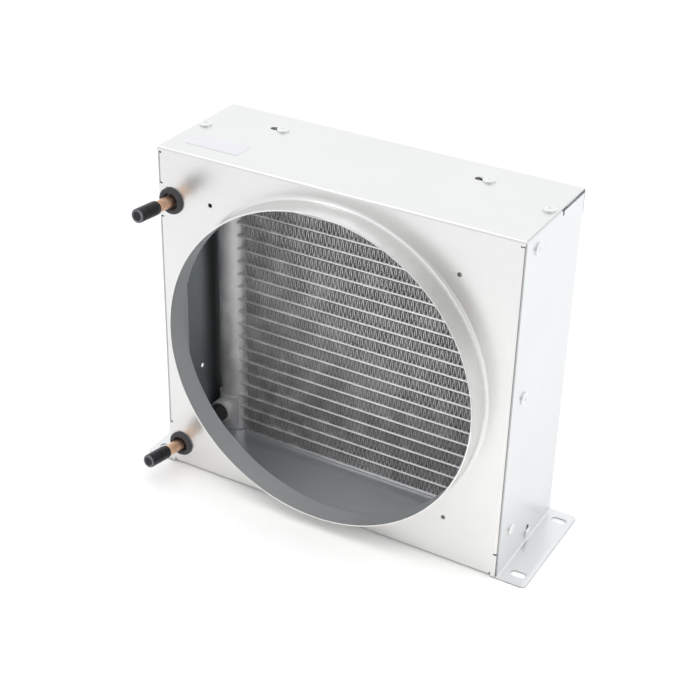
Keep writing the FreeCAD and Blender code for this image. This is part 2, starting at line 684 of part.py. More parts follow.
def copper_pipe(which, height):
    """Copper tube from the boss through the grommet, then bent up and a little to the left."""
    body = new_body(f"{which}_pipe")
    tilt = f"{which}_pipe_tilt"
    inner_end = f"({BOSS_Y} + pipe_socket - braze_gap)"
    forwards, above = stub_start(which)
    last_run = f"({stub_run(which)} + cap_length - cap_end - 2 * cap_dish)"
    route = new_sketch(body, "side")
    stops = [(inner_end, "0"), (BEND_Y, "0"), (forwards, above),
             (f"{forwards} - {last_run} * cos({tilt})", f"{above} + {last_run} * sin({tilt})")]
    points = [FreeCAD.Vector(value(y), value(z), 0) for y, z in stops]
    for start, end in ((0, 1), (2, 3)):
        line = route.addGeometry(Part.LineSegment(points[start], points[end]))
        pin(route, line, 1, *stops[start])
        pin(route, line, 2, *stops[end])
    middle = FreeCAD.Vector(value(f"{BEND_Y} - pipe_bend * sin({tilt} / 2)"),
                            value(f"pipe_bend * (1 - cos({tilt} / 2))"), 0)
    bend = route.addGeometry(Part.Arc(points[1], middle, points[2]))
    start_end, finish_end = arc_ends(route, bend, points[1])
    route.addConstraint(Sketcher.Constraint("Coincident", bend, start_end, 0, 2))
    route.addConstraint(Sketcher.Constraint("Coincident", bend, finish_end, 1, 1))
    dimension(route, "Radius", "pipe_bend", bend)
    section = new_sketch(body, "front", away=f"-{inner_end}")
    circle(section, "0", "0", "pipe_radius")
    circle(section, "0", "0", "pipe_radius - pipe_wall")
    doc.recompute()
    pipe = body.newObject("PartDesign::AdditivePipe", "Pipe")
    pipe.Profile = section
    pipe.Spine = route
    place_leaning(body, which, PIPE_X, "0", height, "0")
    return body


def place_leaning(body, which, x, y, z, tilt):
    """Place a body that was made on the origin: tilted upwards first, then leaning to the left."""
    place = {"Base.x": x, "Base.y": y, "Base.z": z,
             "Rotation.Pitch": f"-{which}_pipe_lean", "Rotation.Roll": f"-{tilt}"}
    for part, size in place.items():
        body.setExpression(f"Placement.{part}", bound(size))
    doc.recompute()


def arc_ends(sketch, arc, start):
    """The sketch's numbers for the arc's end at start and for its other end."""
    near = sketch.getPoint(arc, 1).distanceToPoint(start)
    far = sketch.getPoint(arc, 2).distanceToPoint(start)
    return (1, 2) if near < far else (2, 1)


def joint_sleeve(which, height):
    """Shrink sleeve over the boss neck, shrunk down on to the copper in front of it."""
    body = new_body(f"{which}_sleeve")
    back, front = f"({BOSS_Y} - seam)", f"({BOSS_Y} - sleeve_length)"
    neck_end = f"({BOSS_Y} - neck_length - seam)"
    cone_end = f"({neck_end} - sleeve_cone)"
    wide, narrow = "(neck_radius + seam)", "(pipe_radius + seam)"
    turned(body, "side", ("0", height, PIPE_X), "H_Axis", [
        (back, wide), (back, f"{wide} + sleeve_wall"), (neck_end, f"{wide} + sleeve_wall"),
        (cone_end, f"{narrow} + sleeve_wall"), (front, f"{narrow} + sleeve_wall"),
        (front, narrow), (cone_end, narrow), (neck_end, wide)])
    return body


def grommet(which, height):
    """Rubber bush snapped into the front panel, with a flange on each face."""
    body = new_body(f"{which}_grommet")
    face, rear = f"({FRONT} - seam / 2)", f"({FRONT} + sheet + seam / 2)"
    waist = "pipe_hole / 2 - seam"
    front_end, rear_end = f"({face} - grommet_flange)", f"({rear} + grommet_flange)"
    turned(body, "side", ("0", height, PIPE_X), "H_Axis", [
        (front_end, "grommet_bore"), (front_end, "grommet_radius"), (face, "grommet_radius"),
        (face, waist), (rear, waist), (rear, "grommet_radius"),
        (rear_end, "grommet_radius"), (rear_end, "grommet_bore")])
    chamfer_edges(body, "grommet_edge",
                  [(PIPE_X, end, f"{height} + {radius}") for end in (front_end, rear_end)
                   for radius in ("grommet_radius", "grommet_bore")])
    return body


def pipe_cap(which, height):
    """Transport cap pushed over the slanted pipe end, with a dished face."""
    body = new_body(f"{which}_cap")
    bore, outer = "(pipe_radius + cap_clearance)", "(pipe_radius + cap_clearance + cap_wall)"
    turned(body, "side", ("0",), "H_Axis", [
        ("0", bore), ("0", outer), ("-cap_length", outer), ("-cap_length", f"{outer} / 2"),
        ("cap_dish - cap_length", "0"), ("cap_dish + cap_end - cap_length", "0"),
        ("cap_dish + cap_end - cap_length", bore)])
    chamfer_edges(body, "cap_edge", [("0", "-cap_length", outer)])
    rise = f"({stub_start(which)[1]} + {stub_run(which)} * sin({which}_pipe_tilt))"
    place_leaning(body, which, f"{PIPE_X} - {rise} * {PIPE_LEFT[which]}", MOUTH_Y,
                  f"{height} + {rise} * {PIPE_UP[which]}", f"{which}_pipe_tilt")
    return body


def screw(body, view, place, axis, seat, sign, length="screw_length"):
    """A pan head screw on a seat, its head towards the sign and its shank the other way."""
    tip, top = f"{seat} - {sign} * {length}", f"{seat} + {sign} * screw_head_height"
    profile = [(tip, "0"), (tip, "screw_shank / 2"), (seat, "screw_shank / 2"),
               (seat, "screw_head / 2"), (top, "screw_head / 2"), (top, "0")]
    if axis == "V_Axis":
        profile = [(radius, run) for run, radius in profile]
    turned(body, view, place, axis, profile)


def side_screws(side, sign):
    """Three screws that hold a side panel to the shroud's return."""
    body = new_body(f"{side}_side_screws")
    depth = f"{FRONT} + side_screw_depth"
    for height in side_screw_heights(side):
        screw(body, "front", ("0", height, f"-({depth})"), "H_Axis", f"{sign} * {SIDE}", sign)
    chamfer_edges(body, "screw_edge", [
        (f"{sign} * ({SIDE} + screw_head_height)", depth, f"{height} + screw_head / 2")
        for height in side_screw_heights(side)])
    return body


def floor_screws():
    """One screw on each side, through an upright slot into the floor panel's flange."""
    body = new_body("floor_screws")
    depth = f"{FRONT} + floor_screw_depth"
    for sign in SIDES.values():
        screw(body, "front", ("0", "floor_screw_height", f"-({depth})"), "H_Axis",
              f"{sign} * {SIDE}", sign)
    chamfer_edges(body, "screw_edge", [
        (f"{sign} * ({SIDE} + screw_head_height)", depth, "floor_screw_height + screw_head / 2")
        for sign in SIDES.values()])
    return body


def top_screws(label, apart, depth, length):
    """A pair of screws from above through the top panel."""
    body = new_body(label)
    for sign in SIDES.values():
        screw(body, "front", (f"{sign} * {apart}", "0", f"-({depth})"), "V_Axis",
              HEIGHT, "1", length)
    chamfer_edges(body, "screw_edge", [
        (f"{sign} * {apart} + screw_head / 2", depth, f"{HEIGHT} + screw_head_height")
        for sign in SIDES.values()])
    return body


def build_all():
    bodies = [fan_shroud(), floor_panel(), flat_tubes(), fin_rows(), header_baffle(),
              side_plate("bottom_side_plate", STACK_LOW), top_side_plate(), floor_screws(),
              top_screws("top_edge_screws", EDGE_SCREW_X, EDGE_SCREW_Y, "screw_length"),
              top_screws("coil_screws", "coil_screws_apart / 2", COIL_Y, "coil_screw_length")]
    for side, sign in SIDES.items():
        bodies += [side_panel(side, sign), header(side, sign), header_caps(side, sign),
                   side_screws(side, sign)]
    for which, height in PIPE_HEIGHTS.items():
        bodies += [boss(which, height), copper_pipe(which, height), joint_sleeve(which, height),
                   grommet(which, height), pipe_cap(which, height)]
    return bodies


def check(bodies):
    """Stop before anything is written if an object failed or a shape is unsound."""
    doc.recompute()
    failed = [item.Name for item in doc.Objects if {"Invalid", "Error"} & set(item.State)]
    if failed:
        raise ValueError(f"failed objects: {failed}")
    for body in bodies:
        if body.Shape.isNull() or not body.Shape.Solids or not body.Shape.isValid():
            raise ValueError(f"{body.Label} has no sound shape")


parts = build_all()
check(parts)
os.makedirs("parts", exist_ok=True)
for part in parts:
    part.Shape.exportStep(f"parts/{part.Label}.step")
print(f"{len(parts)} nodes, {sum(len(part.Shape.Solids) for part in parts)} solids")
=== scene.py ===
import json
import math

import bmesh
import bpy
import numpy as np
from bpy.props import FloatProperty, FloatVectorProperty, IntProperty, PointerProperty
from mathutils import Matrix, Vector
from mathutils.bvhtree import BVHTree


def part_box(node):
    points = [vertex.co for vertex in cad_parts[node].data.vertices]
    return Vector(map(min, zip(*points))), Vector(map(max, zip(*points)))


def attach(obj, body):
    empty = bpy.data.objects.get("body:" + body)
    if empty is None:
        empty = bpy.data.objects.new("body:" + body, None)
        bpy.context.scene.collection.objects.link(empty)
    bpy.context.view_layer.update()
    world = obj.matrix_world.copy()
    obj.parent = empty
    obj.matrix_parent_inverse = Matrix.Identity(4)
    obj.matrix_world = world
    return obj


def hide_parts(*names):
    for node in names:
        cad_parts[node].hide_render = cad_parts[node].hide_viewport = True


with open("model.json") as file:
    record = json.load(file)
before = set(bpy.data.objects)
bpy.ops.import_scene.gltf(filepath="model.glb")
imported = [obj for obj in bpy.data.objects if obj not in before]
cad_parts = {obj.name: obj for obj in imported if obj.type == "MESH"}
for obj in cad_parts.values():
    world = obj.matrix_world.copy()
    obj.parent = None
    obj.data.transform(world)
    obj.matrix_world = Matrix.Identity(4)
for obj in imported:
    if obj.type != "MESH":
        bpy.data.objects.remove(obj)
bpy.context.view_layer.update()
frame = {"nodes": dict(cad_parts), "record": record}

bl_info = {
    "name": "Refrigeration condenser",
    "version": (1, 0, 0),
    "blender": (4, 5, 0),
    "location": "View3D > Sidebar > Condenser",
    "description": "Dresses the packed condenser with its sheet, coil, copper and plastic finishes",
    "category": "Add Mesh",
}

MM = 0.001
CASING = "casing"
RECORD = frame["record"]
SIDES = {"left": -1, "right": 1}
LEVELS = ("upper", "lower")


def corners(node):
    """A node's lowest and highest corners at rest, as arrays in metres."""
    low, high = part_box(node)
    return np.array(low), np.array(high)


TUBES_LOW, TUBES_HIGH = corners("flat_tubes")
FINS_LOW, FINS_HIGH = corners("fin_rows")
SHROUD_LOW, SHROUD_HIGH = corners("fan_shroud")
COIL_Y = float(TUBES_LOW[1] + TUBES_HIGH[1]) / 2
PULLS = {joint["child"]: joint for joint in RECORD["behaviour"]["joints"]}

# A sheet's further finishes by number, after its own, 0.
SHEARED, INSIDE = 1, 2
# How metallic the zinc is, and the scales of its lines, which lie along the smallest.
ZINC_METALLIC = 0.86
ROLLED_ACROSS, ROLLED_UPRIGHT = (6.0, 420.0, 420.0), (420.0, 420.0, 6.0)
# Tone, roughness and metallic share of the brazed aluminium. Each tone lifts the aluminium above its
# own colour, by kind, to light the coil inside the casing: painted light.
ALUMINIUM = {"header": (1.1, 0.62, 1.0), "tube": (1.15, 0.38, 1.0), "fin": (1.13, 0.29, 0.8)}


# Surfaces as arrays

def grid(points, wrap_rows=False, wrap_columns=False):
    """A surface's vertices and quads: rows of points, joined to their neighbours."""
    rows, columns = points.shape[:2]
    index = np.arange(rows * columns).reshape(rows, columns)
    if wrap_rows:
        index = np.vstack([index, index[:1]])
    if wrap_columns:
        index = np.hstack([index, index[:, :1]])
    quads = np.stack([index[:-1, :-1], index[:-1, 1:], index[1:, 1:], index[1:, :-1]], axis=-1)
    return points.reshape(-1, 3), quads.reshape(-1, 4)


def join(surfaces):
    """Several surfaces as one, each one's quads counted on from the one before."""
    starts = np.cumsum([0] + [len(points) for points, _ in surfaces[:-1]])
    points = np.concatenate([points for points, _ in surfaces])
    quads = np.concatenate([quads + start for (_, quads), start in zip(surfaces, starts)])
    return points, quads


def copies(surface, offsets):
    """The same surface moved by each offset."""
    points, quads = surface
    offsets = np.asarray(offsets, dtype=float)
    moved = (points[None] + offsets[:, None]).reshape(-1, 3)
    steps = np.arange(len(offsets)) * len(points)
    return moved, (quads[None] + steps[:, None, None]).reshape(-1, 4)


def turned(profile, steps):
    """A profile of (along, radius) pairs turned about the local Z axis:
    x = radius cos a, y = radius sin a, z = along, with a in equal steps of the full turn."""
    angle = np.linspace(0, 2 * np.pi, steps, endpoint=False)
    along, radius = np.asarray(profile, dtype=float).T
    return np.stack([radius[:, None] * np.cos(angle), radius[:, None] * np.sin(angle),
                     np.repeat(along[:, None], steps, axis=1)], axis=-1)


def rounded(corner_list, steps=5):
    """An outline with round corners. Each entry is (x, y, radius); a corner of radius r becomes
    an arc that is tangent to both sides, its centre r / cos(half the turn) from the corner."""
    data = np.asarray(corner_list, dtype=float)
    spots, radii = data[:, :2], data[:, 2]
    before = np.roll(spots, 1, axis=0) - spots
    after = np.roll(spots, -1, axis=0) - spots
    before /= np.linalg.norm(before, axis=1)[:, None]
    after /= np.linalg.norm(after, axis=1)[:, None]
    outline = []
    for spot, radius, one, two in zip(spots, radii, before, after):
        if radius <= 0:
            outline.append(spot[None])
            continue
        half = math.acos(np.clip(one @ two, -1, 1)) / 2
        reach = radius / math.tan(half)
        centre = spot + (one + two) / np.linalg.norm(one + two) * radius / math.sin(half)
        start, finish = spot + one * reach - centre, spot + two * reach - centre
        share = np.linspace(0, 1, steps + 1)[:, None]
        sweep = math.pi - 2 * half
        blend = (np.sin((1 - share) * sweep) * start + np.sin(share * sweep) * finish)
        outline.append(centre + blend / math.sin(sweep))
    return np.concatenate(outline)


def placed(points, origin, along, across=(1.0, 0.0, 0.0)):
    """Points from a local frame whose Z lies along a direction and whose X lies across it."""
    up = Vector(along).normalized()
    side = (Vector(across) - up * Vector(across).dot(up)).normalized()
    turn = np.array([side, up.cross(side), up])
    return points @ turn + np.asarray(origin, dtype=float)


def place_surface(surface, origin, along, across=(1.0, 0.0, 0.0)):
    """A surface moved out of its local frame, as placed does it for points."""
    points, quads = surface
    return placed(points, origin, along, across), quads


def turned_shell(profile, steps, origin, along, hollow=True):
    """A profile turned about an axis. That of a hollow shell closes on itself."""
    shell = grid(turned(profile, steps), wrap_rows=hollow, wrap_columns=True)
    return place_surface(shell, origin, along)


# Meshes and pieces

def merge_points(mesh, reach, outwards=False):
    """Merge the points of a mesh that coincide and, if asked, turn its faces outwards."""
    work = bmesh.new()
    work.from_mesh(mesh)
    bmesh.ops.remove_doubles(work, verts=work.verts, dist=reach)
    if outwards:
        bmesh.ops.recalc_face_normals(work, faces=work.faces)
    work.to_mesh(mesh)
    work.free()


def shade(mesh, sharp):
    """Shade a mesh smooth, apart from edges that turn by more than so many degrees."""
    mesh.shade_smooth()
    mesh.set_sharp_from_angle(angle=math.radians(sharp))


def mesh_from(name, surface, sharp=35.0, closed=True):
    """A mesh from a surface. A closed one is merged at its poles and faces outwards."""
    points, quads = surface
    mesh = bpy.data.meshes.new(name)
    mesh.from_pydata(points, [], quads)
    if closed:
        merge_points(mesh, reach=0.0001 * MM, outwards=True)
    shade(mesh, sharp)
    mesh.update()
    return mesh


def add_piece(name, mesh, finish, replaced, body=CASING):
    """Put a mesh in the scene as a piece of the condenser that stands for its nodes."""
    piece = bpy.data.objects.new(name, mesh)
    bpy.context.scene.collection.objects.link(piece)
    mesh.materials.clear()
    mesh.materials.append(finish)
    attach(piece, body)
    if replaced:
        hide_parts(*replaced)
    return piece


def add_surface(name, surface, finish, replaced, sharp=35.0, closed=True):
    """Put a surface in the scene as a piece that rides on the casing."""
    add_piece(name, mesh_from(name, surface, sharp, closed), finish, replaced)


def smooth_copy(node, finish, more_finishes=()):
    """A copy of a node's mesh with its points merged, flat faces kept flat and folds smooth.
    A sheet takes two more finishes: one for its sheared edges and one for its inside."""
    mesh = frame["nodes"][node].data.copy()
    mesh.name = f"{node}_finish"
    merge_points(mesh, reach=0.001 * MM)
    shade(mesh, sharp=40)
    piece = add_piece(mesh.name, mesh, finish, [node])
    for other in more_finishes:
        mesh.materials.append(other)
    if more_finishes:
        mark_faces(mesh)
    weighted = piece.modifiers.new("flat_faces", "WEIGHTED_NORMAL")
    weighted.mode = "FACE_AREA"
    weighted.weight = 100
    weighted.keep_sharp = True


def mark_faces(mesh):
    """Give each face of a sheet its finish. It was sheared where the metal straight behind it
    is deeper than a sheet is thick, apart from the collar's rim, which is rolled bright. It is
    inside where it looks to the casing's middle and doesn't lie on a foot."""
    skin, sheet, rolled = 0.01 * MM, 1.5 * MM, 1 * MM
    tree = BVHTree.FromPolygons([vertex.co for vertex in mesh.vertices],
                                [tuple(face.vertices) for face in mesh.polygons])
    middle = Vector((SHROUD_LOW + SHROUD_HIGH) / 2)
    for face in mesh.polygons:
        depth = tree.ray_cast(face.center - face.normal * skin, -face.normal)[3]
        if (depth is None or depth > sheet) and face.center.y > SHROUD_LOW[1] + rolled:
            face.material_index = SHEARED
        elif face.normal.dot(middle - face.center) > 0 and abs(face.center.x) < SHROUD_HIGH[0]:
            face.material_index = INSIDE


def mesh_points(mesh):
    """The points of a mesh as an array."""
    points = np.empty(len(mesh.vertices) * 3)
    mesh.vertices.foreach_get("co", points)
    return points.reshape(-1, 3)


def spots_of(node):
    """The middle of each loose copy in a node, found as gaps along its longest side."""
    gap = 10 * MM
    points = mesh_points(frame["nodes"][node].data)
    axis = int(np.argmax(np.ptp(points, axis=0)))
    points = points[np.argsort(points[:, axis])]
    breaks = np.flatnonzero(np.diff(points[:, axis]) > gap) + 1
    return [(group.min(axis=0) + group.max(axis=0)) / 2 for group in np.split(points, breaks)]


# Materials

def toned(colour, tone):
    """A colour made darker or lighter by a factor."""
    return tuple(tone * part for part in colour)


def operator(operation, reflected=False):
    """A Python operator that adds a Math node; a reflected one has the value come second."""
    def calculate(self, other):
        pair = (other, self) if reflected else (self, other)
        return self.shader.node("ShaderNodeMath", {"operation": operation}, enumerate(pair))
    return calculate


class Value:
    """A number that changes over a surface, held by a socket, to calculate with."""

    def __init__(self, shader, socket):
        self.shader = shader
        self.socket = socket

    __add__, __radd__ = operator("ADD"), operator("ADD", True)
    __sub__, __rsub__ = operator("SUBTRACT"), operator("SUBTRACT", True)
    __mul__, __rmul__ = operator("MULTIPLY"), operator("MULTIPLY", True)


class Nodes:
    """A node tree under construction around the node that it feeds."""

    def __init__(self, tree, surface, place):
        self.tree = tree
        self.surface = tree.nodes[surface]
        self.place = self.node("ShaderNodeTexCoord", output=place)

    def node(self, kind, settings=(), inputs=(), output=0):
        """Add a node, with its settings first, then its sockets' values or links."""
        node = self.tree.nodes.new(kind)
        for name, setting in dict(settings).items():
            setattr(node, name, setting)
        for key, value in dict(inputs).items():
            self.fill(node.inputs[key], value)
        return Value(self, node.outputs[output])

    def fill(self, socket, value):
        """Link a value to a socket, or set the socket's own number."""
        if isinstance(value, Value):
            self.tree.links.new(value.socket, socket)
        else:
            socket.default_value = value

    def set(self, name, value):
        """Give a socket of the surface its value."""
        self.fill(self.surface.inputs[name], value)

    def noise(self, scale, detail=3.0, roughness=0.55):
        """Noise between 0 and 1. With a scale for each axis it is drawn out into lines along
        the one that has the smallest."""
        place = self.place
        if isinstance(scale, tuple):
            place = self.node("ShaderNodeMapping", inputs={"Vector": place, "Scale": scale})
            scale = 1.0
        return self.node("ShaderNodeTexNoise", inputs={
            "Vector": place, "Scale": scale, "Detail": detail, "Roughness": roughness})

    def smooth(self, value, low, high, start=0.0, finish=1.0):
        """From start to finish, smoothly, while the value goes from low to high."""
        return self.node("ShaderNodeMapRange", {"interpolation_type": "SMOOTHSTEP"}, {
            "Value": value, "From Min": low, "From Max": high, "To Min": start, "To Max": finish})

    def patches(self, scale, detail=4.0, roughness=0.6, low=0.35, high=0.7):
        """Noise spread out into patches with soft edges."""
        return self.smooth(self.noise(scale, detail, roughness), low, high)

    def mix(self, share, first, second):
        """The first colour at share 0 and the second at share 1. The node has a set of sockets
        with the same names for each kind of value, so those for colours go by number."""
        factor, a, b, result = 0, 6, 7, 2
        return self.node("ShaderNodeMix", {"data_type": "RGBA"}, {
            factor: share, a: self.colour(first), b: self.colour(second)}, result)

    @staticmethod
    def colour(value):
        return value if isinstance(value, Value) else (*value, 1)

    def part(self, axis):
        """One number of the place on the surface: X, Y or Z."""
        return self.node("ShaderNodeSeparateXYZ", inputs={"Vector": self.place}, output=axis)

    def bump(self, height, depth):
        """Relief of a depth in metres where the height goes from 0 to 1."""
        self.set("Normal", self.node("ShaderNodeBump", inputs={
            "Height": height, "Distance": depth, "Strength": 1.0}))


class Shader(Nodes):
    """A material under construction around its Principled surface."""

    def __init__(self, name, colour, **constants):
        self.material = bpy.data.materials.new(name)
        self.material.use_nodes = True
        super().__init__(self.material.node_tree, "Principled BSDF", "Object")
        self.surface.inputs["Base Color"].default_value = (*colour, 1)
        for socket, number in constants.items():
            self.surface.inputs[socket.replace("_", " ")].default_value = number


def galvanised(name, light, dark, rolling, roughness):
    """Smooth zinc-coated sheet: cloudy sheen, and fine lines in the rolling direction."""
    shader = Shader(name, light, Metallic=ZINC_METALLIC)
    cloud_share, cloud_dulls, lines_gloss, mean = 0.55, 0.02, 0.03, 0.5
    cloud = shader.patches(9.0, roughness=0.55, low=0.32, high=0.68)
    lines = shader.noise(rolling, detail=4.0, roughness=0.5)
    share = cloud * cloud_share + lines * (1 - cloud_share)
    shader.set("Base Color", shader.mix(share, dark, light))
    shader.set("Roughness", roughness + cloud_dulls * cloud - lines_gloss * (lines - mean))
    shader.bump(lines, depth=0.001 * MM)
    return shader.material


def zinc_wall(name, front, gap, roughness):
    """Inner face of a side panel: dull zinc, painted darker in the gap beside the header as painted
    shade. The gap is a smooth step in along Y times a smooth step out."""
    shader = Shader(name, front, Metallic=ZINC_METALLIC)
    step_in, step_out = (-2 * MM, 14 * MM), (22 * MM, 36 * MM)
    black, lines_shade, lines_dull = (0.0, 0.0, 0.0), 0.2, 0.06
    y = shader.part("Y")
    # beside is the share of painted shade in the gap beside the header, by place along Y
    beside = shader.smooth(y, *step_in) * shader.smooth(y, *step_out, start=1.0, finish=0.0)
    lines = shader.noise(ROLLED_UPRIGHT, detail=4.0, roughness=0.5)
    colour = shader.mix(beside, front, gap)
    shader.set("Base Color", shader.mix(lines * lines_shade, colour, black))
    shader.set("Roughness", roughness + lines_dull * lines)
    return shader.material


def sheared_steel(name, colour):
    """Bare steel where the sheet was sheared: grey, with fine tear marks."""
    shader = Shader(name, colour, Metallic=1.0)
    torn, smooth, tears_dull = 0.8, 0.5, 0.15
    tears = shader.noise(1800.0, detail=2.0)
    shader.set("Base Color", shader.mix(tears, toned(colour, torn), colour))
    shader.set("Roughness", smooth + tears_dull * tears)
    shader.bump(tears, depth=0.03 * MM)
    return shader.material


def brazed_aluminium(name, light, dark, roughness, metallic):
    """Brazed aluminium: dull, with a mottled haze of flux left by the furnace."""
    shader = Shader(name, light, Metallic=metallic)
    haze_dulls, grain_dulls, haze_height = 0.16, 0.06, 0.4
    haze = shader.patches(60.0, detail=5.0, roughness=0.65)
    fine = shader.noise(1400.0)
    shader.set("Base Color", shader.mix(haze, dark, light))
    shader.set("Roughness", roughness + haze_dulls * haze + grain_dulls * fine)
    shader.bump(haze * haze_height + fine * (1 - haze_height), depth=0.03 * MM)
    return shader.material


def drawn_copper(name, light, dark):
    """Drawn copper tube: lines along its length and a brown, uneven tarnish."""
    shader = Shader(name, light, Metallic=1.0)
    drawing, tarnish_share, lines_share = (1500.0, 30.0, 1500.0), 0.6, 0.3
    clean, tarnish_dulls, lines_dull = 0.24, 0.2, 0.1
    tarnish = shader.patches(120.0, detail=5.0, low=0.3, high=0.72)
    lines = shader.noise(drawing)
    share = tarnish * tarnish_share + lines * lines_share
    shader.set("Base Color", shader.mix(share, light, dark))
    shader.set("Roughness", clean + tarnish_dulls * tarnish + lines_dull * lines)
    shader.bump(lines, depth=0.02 * MM)
    return shader.material


def black_plastic(name, colour, bloom, roughness, grain, coat=0.0):
    """Soft black plastic or rubber with a faint grey bloom and a fine grain."""
    shader = Shader(name, colour, Metallic=0.0, Coat_Weight=coat, Coat_Roughness=0.1)
    bloom_dulls, bloom_height = 0.14, 0.4
    patches = shader.patches(180.0)
    fine = shader.noise(2600.0)
    shader.set("Base Color", shader.mix(patches, colour, bloom))
    shader.set("Roughness", roughness + bloom_dulls * patches)
    shader.bump(fine * (1 - bloom_height) + patches * bloom_height, depth=grain)
    return shader.material


def soft_vinyl(name, colour, bloom, rubbed):
    """Glossy soft black vinyl, with a paler ring round the cap's end, a painted sheen. The mesh notes
    where that ring lies.
    """
    shader = Shader(name, colour, Metallic=0.0, Specular_IOR_Level=0.3)
    even, glossy, bloom_dulls, sheen_dulls = 0.75, 0.15, 0.06, 0.1
    patches = shader.patches(180.0)
    painted_sheen = shader.node("ShaderNodeAttribute", {"attribute_name": "painted_sheen"}, output="Fac")
    dark = shader.mix(patches, colour, bloom)
    # the paler ring round the cap's end is a painted sheen
    shader.set("Base Color", shader.mix(painted_sheen * (even + (1 - even) * patches), dark, rubbed))
    shader.set("Roughness", glossy + bloom_dulls * patches + sheen_dulls * painted_sheen)
    return shader.material


def zinc_plate(name, colour):
    """Bright zinc plating on a screw, slightly clouded."""
    shader = Shader(name, colour, Metallic=1.0)
    bright, cloud_dulls = 0.22, 0.2
    cloud = shader.noise(700.0, detail=4.0)
    shader.set("Roughness", bright + cloud_dulls * cloud)
    shader.bump(cloud, depth=0.02 * MM)
    return shader.material


def label_film(name, colour):
    """Bare white film with a satin face and a trace of fibre."""
    shader = Shader(name, colour, Roughness=0.42)
    fibre_tone = 0.96
    fibre = shader.noise(500.0, detail=4.0)
    shader.set("Base Color", shader.mix(fibre, toned(colour, fibre_tone), colour))
    shader.bump(fibre, depth=0.01 * MM)
    return shader.material


def floor_paper(name, colour):
    """Dull pale paper, very slightly uneven."""
    shader = Shader(name, colour, Roughness=0.85)
    shader.bump(shader.noise(40.0, detail=2.0), depth=0.05 * MM)
    return shader.material


def material(name, maker, **values):
    """The named material, made the first time it is asked for."""
    return bpy.data.materials.get(name) or maker(name, **values)


# Sizes and colours to change

class SheetSettings(bpy.types.PropertyGroup):
    # Front and side sheet are one zinc in two tones, warmer on the front and cooler and lighter on
    # the sides, after how the light falls on each: painted light.
    front: FloatVectorProperty(name="Zinc", description="Zinc-coated sheet of shroud and floor",
                               subtype="COLOR", default=(0.778, 0.776, 0.762))
    side: FloatVectorProperty(name="Zinc, sides", description="Zinc-coated sheet of the side panels",
                              subtype="COLOR", default=(0.782, 0.79, 0.79))
    # The inside colour is the same zinc made cooler and slightly lighter, for the light inside the
    # shroud: painted light.
    inside: FloatVectorProperty(name="Zinc inside", description="Sheet inside the shroud",
                                subtype="COLOR", default=(0.77, 0.80, 0.82))
    # The wall colour is the zinc painted far darker, for the shade inside the casing: painted shade.
    wall: FloatVectorProperty(name="Zinc wall", description="Inner face of the side panels",
                              subtype="COLOR", default=(0.38, 0.42, 0.43))
    roughness: FloatProperty(name="Roughness", description="Dullness of the sheet", default=0.295)
    sheared: FloatVectorProperty(name="Sheared edge", description="Bare steel at the sheet's edges",
                                 subtype="COLOR", default=(0.60, 0.60, 0.60))


class CoilSettings(bpy.types.PropertyGroup):
    tube_count: IntProperty(name="Tubes", description="Flat tubes between the headers", default=23)
    tube_thickness: FloatProperty(name="Tube thickness", description="Height of a flat tube",
                                  unit="LENGTH", default=2 * MM)
    folds: IntProperty(name="Folds", description="Folds in one fin row", default=60)
    fin_sheet: FloatProperty(name="Fin sheet", description="Thickness of the fin sheet",
                             unit="LENGTH", default=0.2 * MM)
    louvres: IntProperty(name="Louvres", description="Louvres in each half of a fin wall", default=2)
    louvre_lean: FloatProperty(name="Louvre lean", description="How far a louvre leans out",
                               unit="LENGTH", default=0.09 * MM)
    root_flare: FloatProperty(name="Root flare", description="Height of the brazed root of a tube",
                              unit="LENGTH", default=0.4 * MM)
    root_reach: FloatProperty(name="Root reach", description="Length of the brazed root of a tube",
                              unit="LENGTH", default=1.0 * MM)
    plate_rise: FloatProperty(name="Plate rise", description="Step at the ends of a side plate",
                              unit="LENGTH", default=1.3 * MM)
    light: FloatVectorProperty(name="Aluminium", description="Lighter tone of the brazed aluminium",
                               subtype="COLOR", default=(0.84, 0.83, 0.83))
    dark: FloatVectorProperty(name="Aluminium shade", description="Darker tone of the aluminium",
                              subtype="COLOR", default=(0.70, 0.69, 0.69))


class PipeSettings(bpy.types.PropertyGroup):
    radius: FloatProperty(name="Radius", description="Outer radius of the copper tube",
                          unit="LENGTH", default=4 * MM)
    wall: FloatProperty(name="Wall", description="Wall of the copper tube",
                        unit="LENGTH", default=0.8 * MM)
    bend: FloatProperty(name="Bend", description="Radius of the bend behind the front panel",
                        unit="LENGTH", default=24 * MM)
    bend_start: FloatProperty(name="Bend start", description="From the panel's face to the bend",
                              unit="LENGTH", default=2 * MM)
    light: FloatVectorProperty(name="Copper", description="Clean copper", subtype="COLOR",
                               default=(0.92, 0.62, 0.43))
    dark: FloatVectorProperty(name="Tarnish", description="Tarnished copper", subtype="COLOR",
                              default=(0.60, 0.36, 0.24))


class LabelSettings(bpy.types.PropertyGroup):
    corner: FloatVectorProperty(name="Corner", description="Front left corner of the bare label",
                                subtype="XYZ", size=2, default=(-118 * MM, -31 * MM))
    size: FloatVectorProperty(name="Size", description="Width and depth of the bare label",
                              subtype="XYZ", size=2, default=(40.5 * MM, 17 * MM))
    colour: FloatVectorProperty(name="Colour", description="Colour of the bare label",
                                subtype="COLOR", default=(0.69, 0.685, 0.71))


